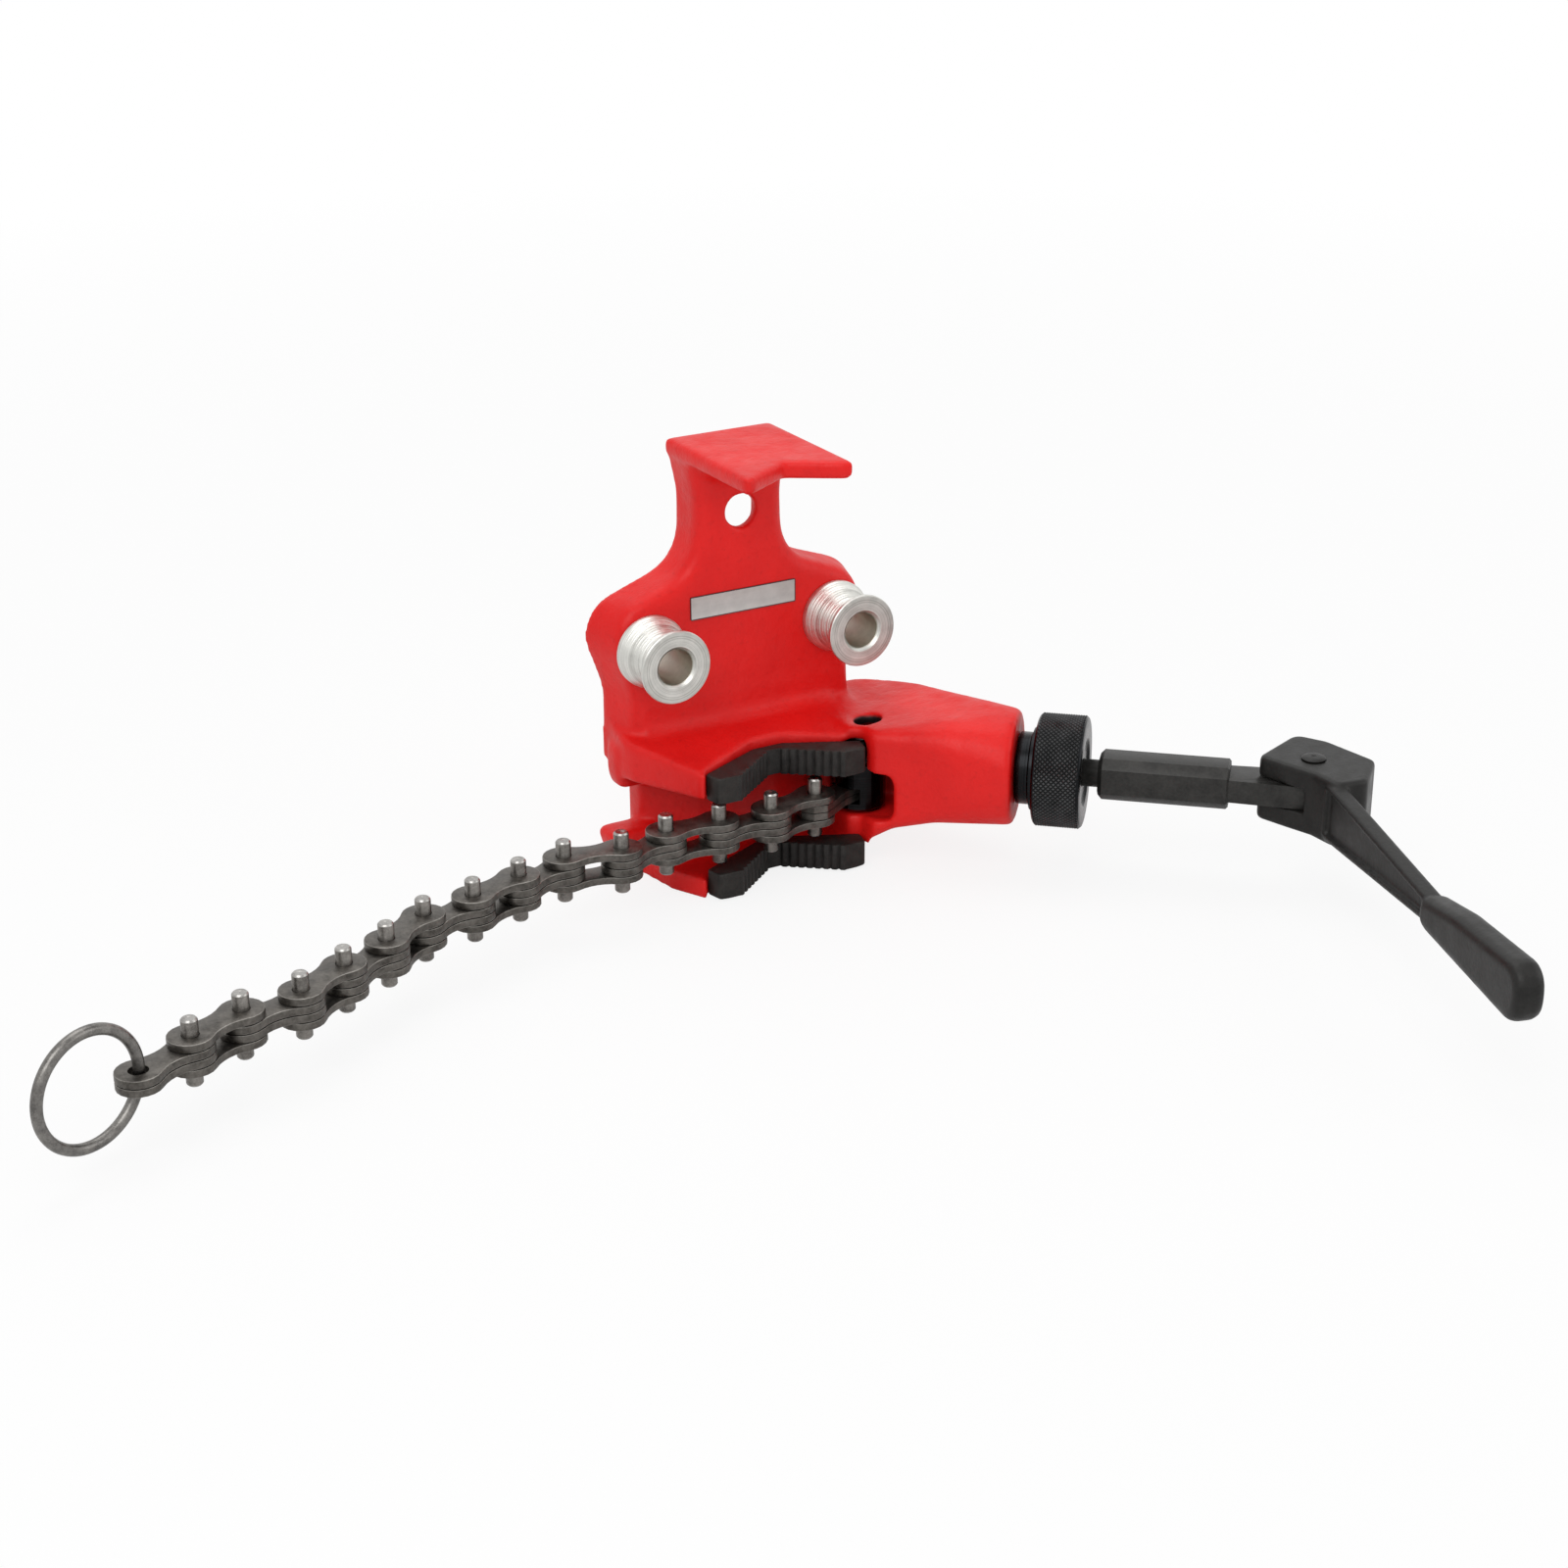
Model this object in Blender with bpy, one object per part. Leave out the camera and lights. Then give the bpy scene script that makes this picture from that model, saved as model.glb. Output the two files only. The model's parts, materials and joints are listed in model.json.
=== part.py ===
"""Chain pipe vise: cast body with two toothed V jaws, hook chain, draw screw and folding lever.

Metres, +Z up. The body stands on its flat bottom at Z = 0. X = 0 is the middle plane of the jaws and
the mounting plate, and Y = 0 is the front face of the plate, so the pipe stands at negative Y.
"""
import math

import bmesh
import bpy
from mathutils import Matrix, Vector

# Clearance between neighbouring pieces, and how finely arcs are drawn
FIT = 0.0003
ARC_STEP = math.radians(22.0)
FINE_STEP = math.radians(14.0)
SMOOTH_ANGLE = math.radians(32.0)

# Mounting plate, drawn from the height of its top and the height of the bobbins
PLATE_DEPTH = 0.0198
PLATE_TOP = 0.1667
PLATE_FOOT = 0.044
PLATE_FOOT_HALF = 0.0525
BOBBIN_HEIGHT = 0.091
LOBE_REACH = 0.063
LOBE_SHOULDER_RISE = 0.0127
LOBE_SHOULDER = BOBBIN_HEIGHT + LOBE_SHOULDER_RISE
LOBE_RADIUS = 0.019
LOBE_WAIST_DROP = 0.018
LOBE_WAIST_HEIGHT = BOBBIN_HEIGHT - LOBE_WAIST_DROP
LOBE_WAIST_HALF = 0.0522
LOBE_WAIST_RADIUS = 0.022
NECK_HALF = 0.0184
NECK_TOP_DROP = 0.0207
NECK_TOP = PLATE_TOP - NECK_TOP_DROP
NECK_ROOT_HALF = 0.019
NECK_ROOT_RISE = 0.0285
NECK_ROOT = BOBBIN_HEIGHT + NECK_ROOT_RISE
NECK_ROOT_RADIUS = 0.023
NECK_TOP_RADIUS = 0.030
PLATE_EDGE = 0.005
# The sides of the plate lean in towards the front by this share of their reach beyond the neck
PLATE_LEAN_SHARE = 0.13
PLATE_BACK_EDGE = 0.0010

# Holes for the mounting bolts and the bobbins
BOBBIN_HALF_SPACING = 0.040
BOLT_RADIUS = 0.007
NECK_HOLE_DROP = 0.0274
NECK_HOLE_HEIGHT = PLATE_TOP - NECK_HOLE_DROP
NECK_HOLE_RADIUS = 0.0066

# Hollow in the back of the plate, and the pocket behind the neck hole
HOLLOW_HALF = 0.0235
HOLLOW_DROP = 0.027
HOLLOW_LOW = BOBBIN_HEIGHT - HOLLOW_DROP
HOLLOW_RISE = 0.021
HOLLOW_HIGH = BOBBIN_HEIGHT + HOLLOW_RISE
HOLLOW_WALL = 0.010
HOLLOW_RADIUS = 0.007
POCKET_HALF = 0.0138
POCKET_FOOT_HALF = 0.0070
POCKET_RISE = 0.0125
POCKET_HIGH = NECK_HOLE_HEIGHT + POCKET_RISE
POCKET_SIDE_DROP = 0.0085
POCKET_SIDE = NECK_HOLE_HEIGHT - POCKET_SIDE_DROP
POCKET_DROP = 0.0143
POCKET_LOW = NECK_HOLE_HEIGHT - POCKET_DROP
POCKET_WALL = 0.0050
POCKET_RADIUS = 0.0035

# Top flange with the V notch that the pipe leans in
FLANGE_HALF = 0.0225
FLANGE_THICK = 0.0068
FLANGE_REACH = 0.045
NOTCH_HALF = 0.0195
NOTCH_DEPTH = 0.0122
FLANGE_EDGE = 0.0026
FLANGE_BACK_EDGE = 0.0030
HAUNCH_REACH = 0.0145
HAUNCH_RADIUS = 0.0045
HAUNCH_DROP = 0.0175
HAUNCH_FOOT_HALF = 0.0130
# Rows from the foot of the haunch to the flange: share of the height, of the reach, of the widening
HAUNCH_SHARES = ((0.0, 0.0, 0.0), (0.35, 0.06, 0.12), (0.62, 0.21, 0.30), (0.84, 0.52, 0.60), (1.0, 1.0, 1.0))

# Bobbins
BOBBIN_LENGTH = 0.022
BOBBIN_BASE_RADIUS = 0.0141
BOBBIN_BASE_RIM = 0.0024
BOBBIN_WAIST_RADIUS = 0.0093
BOBBIN_WAIST_AT = 0.0150
BOBBIN_WAIST_LENGTH = 0.0014
BOBBIN_DISC_RADIUS = 0.0142
BOBBIN_DISC_RIM = 0.0019
BOBBIN_CHAMFER = 0.0012
SPIGOT_RADIUS = 0.0090
SPIGOT_LENGTH = 0.008

# Jaws: two legs that meet in a V, with cut teeth on the inner faces
JAW_THICK = 0.0104
UPPER_JAW_FOOT = 0.0400
LOWER_JAW_FOOT = 0.0008
JAW_APEX_HALF = 0.0063
JAW_APEX_Y = -0.0178
JAW_TIP_HALF = 0.0338
JAW_TIP_Y = -0.0310
JAW_NOSE_HALF = 0.0320
JAW_NOSE_Y = -0.0385
JAW_MOUTH_HALF = 0.0237
JAW_THROAT_HALF = 0.0031
JAW_THROAT_Y = -0.0225
JAW_CORNER = 0.0018
JAW_EDGE = 0.0005
TEETH_PER_LEG = 8
TOOTH_DEPTH = 0.0011
TOOTH_ARC_SHARES = ((0.0, 0.0), (0.27, 0.9), (0.73, 0.9))
JAW_SCREW_RADIUS = 0.0020
JAW_SCREW_HEAD_RADIUS = 0.0033
JAW_SCREW_HEAD = 0.004
JAW_SCREW_BITE = 0.0034
JAW_SCREW_SEAT_Y = 0.008
JAW_SCREW_SOCKET_RADIUS = 0.0015
JAW_SCREW_SOCKET_DEPTH = 0.002

# Lower body: ramp that carries the upper jaw, shelf that carries the lower jaw, web between them
RAMP_FOOT = 0.0405
RAMP_CREST = 0.057
RAMP_NOSE = 0.0515
RAMP_NOSE_Y = -0.0338
RAMP_NOSE_HALF = 0.036
RAMP_SIDE_HALF = 0.0525
RAMP_SIDE_Y = 0.001
RAMP_SHOULDER_HALF = 0.0512
RAMP_SHOULDER_Y = -0.004
RAMP_EDGE = 0.0034
RAMP_CORNER = 0.006
RAMP_BACK_HALF = 0.0508
RAMP_FOOT_EDGE = 0.0007
CREASE_RADIUS = 0.009
CREASE_HALF = 0.0432
SHELF_TOP = 0.0082
SHELF_SIDE_HALF = 0.0462
SHELF_BEND_HALF = 0.0430
SHELF_BEND_Y = -0.0200
SHELF_RIGHT = 0.045
SHELF_BACK_Y = 0.0176
SHELF_CORNER = 0.0022
SHELF_EDGE = 0.0012
WEB_TOP = 0.046
WEB_LEFT = -0.0425
WEB_FRONT_Y = -0.013
WEB_LEFT_Y = 0.008
WEB_BEND_X = -0.022
WEB_BEND_Y = -0.004
WEB_RIGHT = 0.047
WEB_BACK = 0.0190
LIFT = 0.0004

# Claws that the chain pins hook behind
CLAW_FRONT_Y = 0.003
CLAW_BACK_Y = 0.0135
CLAW_ROOT_X = -0.038
UPPER_CLAW_FOOT = 0.0350
UPPER_CLAW_TIP_X = -0.0522
UPPER_CLAW_BEND = 0.0415
UPPER_CLAW_SIDE_X = -0.0538
UPPER_CLAW_TOP = 0.052
LOWER_CLAW_TOP = 0.0186
LOWER_CLAW_TIP_X = -0.0592
LOWER_CLAW_BEND_X = -0.0572
LOWER_CLAW_BEND = 0.011
LOWER_CLAW_FOOT_X = -0.0462
LOWER_CLAW_FOOT = 0.0012
CLAW_RADIUS = 0.0028
CLAW_EDGE = 0.002

# Arm with the screw housing. Arm frame: x outward along the screw, y to the back, z up
ARM_ANGLE = math.radians(-42.0)
ARM_ORIGIN_X = 0.0418
ARM_ORIGIN_Y = -0.0249
SCREW_HEIGHT = 0.0402
HOUSING_END = 0.058
HOUSING_RADIUS = 0.0225
ARM_ROOT_AT = -0.002
ARM_FRONT_Y = -0.0160
ARM_BACK_Y = 0.046
ARM_FOOT = 0.0078
ARM_TOP = 0.0555
ARM_ROOT_RADIUS = 0.003
# Rows from the root section to the round end: shares for length, front, back, foot, top, radius
ARM_SECTION_SHARES = (
    (0.0, 0.0, 0.0, 0.0, 0.0, 0.0),
    (0.23, 0.08, 0.16, 0.75, 0.24, 0.15),
    (0.50, 0.32, 0.62, 1.08, 0.62, 0.34),
    (0.76, 0.74, 0.88, 1.07, 0.90, 0.66),
    (1.0, 1.0, 1.0, 1.0, 1.0, 1.0),
)
HOUSING_RIM = 0.0012
ROOT_LEFT = 0.030
ROOT_NOSE_Y = -0.036
ROOT_NOSE_X = 0.0350
ROOT_CORNER_X = 0.0705
ROOT_CORNER_Y = 0.0100
ROOT_HEEL_X = 0.062
ROOT_HEEL_Y = 0.0170
ROOT_TOP = 0.0552
ROOT_FOOT = 0.0077
ROOT_EDGE = 0.003
OIL_HOLE_RADIUS = 0.0053
OIL_HOLE_AT = -0.0009

# Window in the arm and the room behind it for the draw block
WINDOW_LEFT = -0.024
WINDOW_RIGHT = 0.0122
ROOM_FLOOR = 0.0011
ROOM_LOW = SCREW_HEIGHT - HOUSING_RADIUS + ROOM_FLOOR
WINDOW_SILL = 0.0008
WINDOW_LOW = ROOM_LOW + WINDOW_SILL
WINDOW_HIGH = 0.0388
WINDOW_RADIUS = 0.0035
WINDOW_FRONT_Y = -0.045
ROOM_RADIUS = 0.0112
ROOM_HIGH = 0.0502

# Draw block, which slides along the screw, and its pin
DRAW_AT = -0.0042
DRAW_TRAVEL = 0.012
DRAW_RADIUS = 0.0104
DRAW_LIFT = 0.0015
DRAW_LOW = ROOM_LOW + DRAW_LIFT
DRAW_HIGH = 0.0496
DRAW_EDGE = 0.0007
DRAW_SHOULDER = 0.0392
DRAW_TOP_RADIUS = 0.0090
DRAW_SWING = (math.radians(-13.0), math.radians(13.0))
ANCHOR_PIN_RADIUS = 0.0030
ANCHOR_PIN_LOW = DRAW_LOW + FIT
ANCHOR_PIN_HIGH = 0.0328

# Screw, knob, drive bar
SCREW_RADIUS = 0.0060
SCREW_START = -0.0125
SCREW_CHAMFER = 0.001
KNOB_RADIUS = 0.0219
KNOB_START = 0.0656
KNOB_END = 0.0842
KNOB_CHAMFER = 0.0014
KNOB_FACE_RADIUS = 0.0125
KNOB_FACE_DEPTH = 0.0010
HUB_RADIUS = 0.0140
HUB_CHAMFER = 0.0008
COLLAR_RADIUS = 0.0160
COLLAR_LENGTH = 0.0016
NECK_RADIUS = 0.0053
BORE_STEP_AT = 0.0743
BAR_START = 0.0895
BAR_END = 0.139
BAR_HALF = 0.0084
BAR_CORNER = 0.0034
BAR_CHAMFER = 0.0016
TANG_HALF_THICK = 0.0045
TANG_HALF_WIDTH = 0.0075
TANG_OVERLAP = 0.003
TANG_EYE_RADIUS = 0.0095

# Lever. Lever frame: x from the pin to the grip, y to the side, z up
LEVER_PIN_AT = 0.1695
LEVER_ANGLE = math.radians(-68.8)
LEVER_PIN_RADIUS = 0.0040
LEVER_PIN_HEAD_RADIUS = 0.0046
LEVER_PIN_HEAD = 0.0009
KNUCKLE_HALF = 0.0128
KNUCKLE_EDGE = 0.0016
# Knuckle outline: each corner as shares of the knuckle reach, then the share of its corner radius
KNUCKLE_REACH = 0.026
KNUCKLE_RADIUS = 0.0045
KNUCKLE_SHARES = (
    (-1.0, 0.05, 1.0), (-0.66, 0.44, 1.0), (0.16, 0.88, 0.8), (0.90, 0.50, 1.0), (0.98, 0.02, 0.9),
    (0.52, -0.17, 0.7), (0.20, -0.42, 0.7), (-0.26, -0.76, 0.8),
)
SLOT_HALF = 0.0048
SLOT_END = 0.0105
# Arm and grip of the lever, both upright plates. Beam frame: x to the grip, y up, z to the near side
BEAM_TURN = math.radians(4.1)
BEAM_START = 0.010
BEAM_START_HALF = 0.0121
BEAM_HALF = 0.0034
BEAM_EDGE = 0.0009
NECK_AT = 0.1080
NECK_END_HALF = 0.0047
CHANNEL_NEAR_START = 0.0205
CHANNEL_FAR_START = 0.0290
CHANNEL_END = 0.1030
CHANNEL_RIB = 0.0026
CHANNEL_DEPTH = 0.0020
GRIP_START = 0.1045
GRIP_STEP_AT = 0.1105
GRIP_STEP_LOW = 0.0064
GRIP_SWELL_AT = 0.1305
GRIP_SWELL_HIGH = 0.0095
GRIP_END = 0.1788
GRIP_END_LOW = 0.0094
GRIP_END_HIGH = 0.0128
GRIP_HALF = 0.0054
GRIP_EDGE = 0.0030
GRIP_RADIUS = 0.0085
GRIP_SWELL_RADIUS = 0.014

# Chain
CHAIN_HEIGHT = 0.0265
CHAIN_PITCH = 0.02205
ANCHOR_PITCH = 0.0256
PIN_RADIUS = 0.00285
PIN_HALF = 0.0120
PIN_CHAMFER = 0.0005
PIN_SIDES = 10
PLATE_THICK = 0.00275
EYE_RADIUS = 0.0078
ANCHOR_EYE_RADIUS = 0.0050
ANCHOR_WAIST_HALF = 0.0041
WAIST_HALF = 0.0050
RING_EYE_RADIUS = 0.0034
FIRST_JOINT_X = 0.0143
FIRST_JOINT_Y = -0.0298
LINK_ANGLES = tuple(math.radians(angle) for angle in (
    190.7, 178.4, 177.9, 194.9, 170.6, 197.8, 198.6, 195.1, 212.8, 208.1, 209.4, 189.2, 204.2, 204.2))

# Pull ring
RING_RADIUS = 0.0198
RING_WIRE_RADIUS = 0.0020
RING_ANGLE = math.radians(202.3)
RING_LIFT = 0.0045
RING_STEPS = 24
WIRE_SIDES = 8

MATERIALS = {
    "red_paint": ((0.74, 0.017, 0.022, 1.0), 0.42, 0.0),
    "black_oxide": ((0.022, 0.020, 0.019, 1.0), 0.50, 0.55),
    "zinc": ((0.55, 0.55, 0.52, 1.0), 0.32, 1.0),
    "chain_steel": ((0.115, 0.108, 0.100, 1.0), 0.38, 0.9),
    "pin_steel": ((0.22, 0.21, 0.20, 1.0), 0.30, 1.0),
    "blued_steel": ((0.016, 0.019, 0.024, 1.0), 0.36, 0.7),
    "forged_black": ((0.030, 0.029, 0.027, 1.0), 0.48, 0.5),
    "ring_wire": ((0.16, 0.15, 0.14, 1.0), 0.30, 1.0),
}


def clear_scene():
    """Remove whatever the open file holds."""
    for obj in list(bpy.data.objects):
        bpy.data.objects.remove(obj, do_unlink=True)
    for mesh in list(bpy.data.meshes):
        bpy.data.meshes.remove(mesh)
    for material in list(bpy.data.materials):
        bpy.data.materials.remove(material)


def make_materials():
    """One Principled material for each finish."""
    made = {}
    for name, (colour, roughness, metallic) in MATERIALS.items():
        material = bpy.data.materials.new(name)
        material.use_nodes = True
        shader = material.node_tree.nodes["Principled BSDF"]
        shader.inputs["Base Color"].default_value = colour
        shader.inputs["Roughness"].default_value = roughness
        shader.inputs["Metallic"].default_value = metallic
        material.diffuse_color = colour
        made[name] = material
    return made


def rounded(corners, step=ARC_STEP):
    """Closed 2-D outline through corners (x, y, radius), each corner turned into an arc."""
    outline = []
    count = len(corners)
    for index, (x, y, radius) in enumerate(corners):
        here = Vector((x, y))
        before = Vector(corners[index - 1][:2]) - here
        after = Vector(corners[(index + 1) % count][:2]) - here
        turn = math.pi - before.angle(after)
        if radius <= 0.0 or turn < 0.01:
            outline.append((x, y))
            continue
        reach = min(radius * math.tan(turn / 2), 0.49 * before.length, 0.49 * after.length)
        radius = reach / math.tan(turn / 2)
        start = here + before.normalized() * reach
        middle = here + (before.normalized() + after.normalized()).normalized() * math.hypot(radius, reach)
        side = 1.0 if before.x * after.y - before.y * after.x < 0.0 else -1.0
        pieces = max(2, math.ceil(turn / step))
        arm = start - middle
        for number in range(pieces + 1):
            angle = side * turn * number / pieces
            outline.append((middle.x + arm.x * math.cos(angle) - arm.y * math.sin(angle),
                            middle.y + arm.x * math.sin(angle) + arm.y * math.cos(angle)))
    return outline


def mirrored(half):
    """Corners on the positive side, then the same corners on the negative side in reverse."""
    return list(half) + [(-x, y, radius) for x, y, radius in reversed(half)]


SIDEWAYS = Matrix(((1, 0, 0, 0), (0, 0, 1, 0), (0, 1, 0, 0), (0, 0, 0, 1)))
ALONG_X = Matrix(((0, 0, 1, 0), (1, 0, 0, 0), (0, 1, 0, 0), (0, 0, 0, 1)))
UPRIGHT = Matrix(((0, 1, 0, 0), (0, 0, 1, 0), (1, 0, 0, 0), (0, 0, 0, 1)))


def prism(outline, low, high, place=None, slope=0.0):
    """Solid bmesh: an outline pushed from low to high, with its far face tilted by slope."""
    bm = bmesh.new()
    face = bm.faces.new([bm.verts.new((x, y, low)) for x, y in outline])
    grown = bmesh.ops.extrude_face_region(bm, geom=[face])["geom"]
    for vert in (item for item in grown if isinstance(item, bmesh.types.BMVert)):
        vert.co.z = high + slope * vert.co.y
    if place is not None:
        bmesh.ops.transform(bm, matrix=place, verts=bm.verts)
    bmesh.ops.recalc_face_normals(bm, faces=bm.faces)
    return bm


def loft(sections, place=None, arc_pieces=5):
    """Solid through rounded rectangles (at, (low, high) across, (low, high) upward, corner radius)."""
    bm = bmesh.new()
    rings = []
    for at, across, upward, radius in sections:
        ring = []
        for corner, (y, z) in enumerate(((across[1], upward[1]), (across[0], upward[1]),
                                         (across[0], upward[0]), (across[1], upward[0]))):
            centre_y = y - math.copysign(radius, y - sum(across) / 2)
            centre_z = z - math.copysign(radius, z - sum(upward) / 2)
            for number in range(arc_pieces + 1):
                angle = math.pi / 2 * (corner + number / arc_pieces)
                ring.append(bm.verts.new((at, centre_y + radius * math.cos(angle),
                                          centre_z + radius * math.sin(angle))))
        rings.append(ring)
    for first, second in zip(rings, rings[1:]):
        for index in range(len(first)):
            following = (index + 1) % len(first)
            bm.faces.new((first[index], first[following], second[following], second[index]))
    bm.faces.new(rings[0])
    bm.faces.new(rings[-1])
    if place is not None:
        bmesh.ops.transform(bm, matrix=place, verts=bm.verts)
    bmesh.ops.recalc_face_normals(bm, faces=bm.faces)
    return bm


def turned(profile, sides, place=None):
    """Solid of revolution about local Z from (radius, height) points."""
    bm = bmesh.new()
    points = [bm.verts.new((radius, 0.0, height)) for radius, height in profile]
    edges = [bm.edges.new(pair) for pair in zip(points, points[1:])]
    if min(profile[0][0], profile[-1][0]) > 0.0:
        edges.append(bm.edges.new((points[-1], points[0])))
    bmesh.ops.spin(bm, geom=points + edges, cent=(0, 0, 0), axis=(0, 0, 1), dvec=(0, 0, 0),
                   angle=2 * math.pi, steps=sides, use_merge=True, use_duplicate=False)
    bmesh.ops.remove_doubles(bm, verts=bm.verts, dist=FIT / 100)
    bmesh.ops.recalc_face_normals(bm, faces=bm.faces)
    if place is not None:
        bmesh.ops.transform(bm, matrix=place, verts=bm.verts)
        bmesh.ops.recalc_face_normals(bm, faces=bm.faces)
    return bm


def soften(bm, test, width, segments=2, spare=lambda co: False):
    """Round the sharp edges whose two ends both pass the test, except those with both ends spared."""
    chosen = [edge for edge in bm.edges
              if all(test(vert.co) for vert in edge.verts) and not all(spare(vert.co) for vert in edge.verts)
              and edge.calc_face_angle(0.0) > math.radians(30)]
    bmesh.ops.bevel(bm, geom=chosen, offset=width, offset_type="OFFSET", segments=segments, profile=0.5,
                    affect="EDGES", clamp_overlap=True, material=-1)
    return bm


def new_object(name, bm):
    """Put a bmesh in the scene as an object at the origin."""
    mesh = bpy.data.meshes.new(name)
    bm.to_mesh(mesh)
    bm.free()
    obj = bpy.data.objects.new(name, mesh)
    bpy.context.scene.collection.objects.link(obj)
    return obj


def combine(obj, tools, operation):
    """Join or cut an object with bmesh solids, one exact Boolean at a time."""
    for tool in tools:
        helper = new_object("tool", tool)
        modifier = obj.modifiers.new(operation.title(), "BOOLEAN")
        modifier.operation = operation
        modifier.solver = "EXACT"
        modifier.object = helper
        graph = bpy.context.evaluated_depsgraph_get()
        result = bpy.data.meshes.new_from_object(obj.evaluated_get(graph))
        obj.modifiers.clear()
        spare, spare_tool = obj.data, helper.data
        obj.data = result
        bpy.data.objects.remove(helper, do_unlink=True)
        for mesh in (spare, spare_tool):
            bpy.data.meshes.remove(mesh)
    return obj


def finish(obj, material):
    """Weld stray points, flatten split faces, and shade the mesh."""
    mesh = obj.data
    bm = bmesh.new()
    bm.from_mesh(mesh)
    bmesh.ops.remove_doubles(bm, verts=bm.verts, dist=FIT / 30)
    bmesh.ops.dissolve_degenerate(bm, edges=bm.edges, dist=FIT / 30)
    bmesh.ops.dissolve_limit(bm, angle_limit=math.radians(0.2), verts=bm.verts, edges=bm.edges)
    bmesh.ops.triangulate(bm, faces=bm.faces, quad_method="BEAUTY", ngon_method="BEAUTY")
    bmesh.ops.recalc_face_normals(bm, faces=bm.faces)
    bm.to_mesh(mesh)
    bm.free()
    mesh.materials.clear()
    mesh.materials.append(material)
    mesh.polygons.foreach_set("use_smooth", [True] * len(mesh.polygons))
    mesh.set_sharp_from_angle(angle=SMOOTH_ANGLE)
    return obj


def pivot(name, location, angle=0.0, parent=None):
    """Empty on a joint axis, turned about Z, placed in its parent's frame."""
    empty = bpy.data.objects.new(name, None)
    empty.empty_display_size = EYE_RADIUS
    bpy.context.scene.collection.objects.link(empty)
    empty.parent = parent
    empty.location = location
    empty.rotation_euler = (0.0, 0.0, angle)
    return empty


def place_piece(name, mesh, parent, location=(0.0, 0.0, 0.0)):
    """Object that shows a shared mesh, placed in its parent's frame."""
    obj = bpy.data.objects.new(name, mesh)
    bpy.context.scene.collection.objects.link(obj)
    obj.parent = parent
    obj.location = location
    return obj


def cylinder(radius, low, high, sides=24, place=None, x=0.0, y=0.0):
    """Plain cylinder about an upright axis at (x, y)."""
    shift = Matrix.Translation((x, y, 0.0))
    matrix = shift if place is None else place @ shift
    return turned([(0.0, low), (radius, low), (radius, high), (0.0, high)], sides, matrix)


def arm_matrix():
    """Arm frame in the world, at floor height."""
    return Matrix.Translation((ARM_ORIGIN_X, ARM_ORIGIN_Y, 0.0)) @ Matrix.Rotation(ARM_ANGLE, 4, "Z")


def arm_solid():
    """Arm: a loft from a rounded rectangle at the jaws to the round end of the screw housing."""
    root = (ARM_ROOT_AT, ARM_FRONT_Y, ARM_BACK_Y, ARM_FOOT, ARM_TOP, ARM_ROOT_RADIUS)
    end = (HOUSING_END, -HOUSING_RADIUS, HOUSING_RADIUS, SCREW_HEIGHT - HOUSING_RADIUS,
           SCREW_HEIGHT + HOUSING_RADIUS, HOUSING_RADIUS * 0.995)
    sections = []
    for shares in ARM_SECTION_SHARES:
        at, front, back, foot, top, radius = (a + (b - a) * share for a, b, share in zip(root, end, shares))
        sections.append((at, (front, back), (foot, top), radius))
    bm = loft(sections)
    soften(bm, lambda co: co.x > HOUSING_END - FIT, HOUSING_RIM, 1)
    bmesh.ops.transform(bm, matrix=arm_matrix(), verts=bm.verts)
    return bm


def plate_solid():
    """Mounting plate with its neck and two lobes, edges softened all round the front."""
    half = [(FLANGE_HALF - LIFT, PLATE_TOP - FLANGE_THICK / 2, 0.0), (NECK_HALF, NECK_TOP, NECK_TOP_RADIUS),
            (NECK_ROOT_HALF, NECK_ROOT, NECK_ROOT_RADIUS), (LOBE_REACH, LOBE_SHOULDER, LOBE_RADIUS),
            (LOBE_WAIST_HALF, LOBE_WAIST_HEIGHT, LOBE_WAIST_RADIUS), (PLATE_FOOT_HALF, PLATE_FOOT, 0.0)]
    bm = prism(rounded(mirrored(half), FINE_STEP), 0.0, PLATE_DEPTH, SIDEWAYS)
    for vert in bm.verts:
        beyond = abs(vert.co.x) - NECK_ROOT_HALF
        if vert.co.y < FIT and beyond > 0.0:
            vert.co.x -= math.copysign(beyond * PLATE_LEAN_SHARE, vert.co.x)

    def ends(co):
        return not PLATE_FOOT + FIT < co.z < PLATE_TOP - FLANGE_THICK / 2 - FIT

    soften(bm, lambda co: co.y < FIT, PLATE_EDGE, 3, ends)
    soften(bm, lambda co: co.y > PLATE_DEPTH - FIT, PLATE_BACK_EDGE, 1, ends)
    return bm


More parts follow.
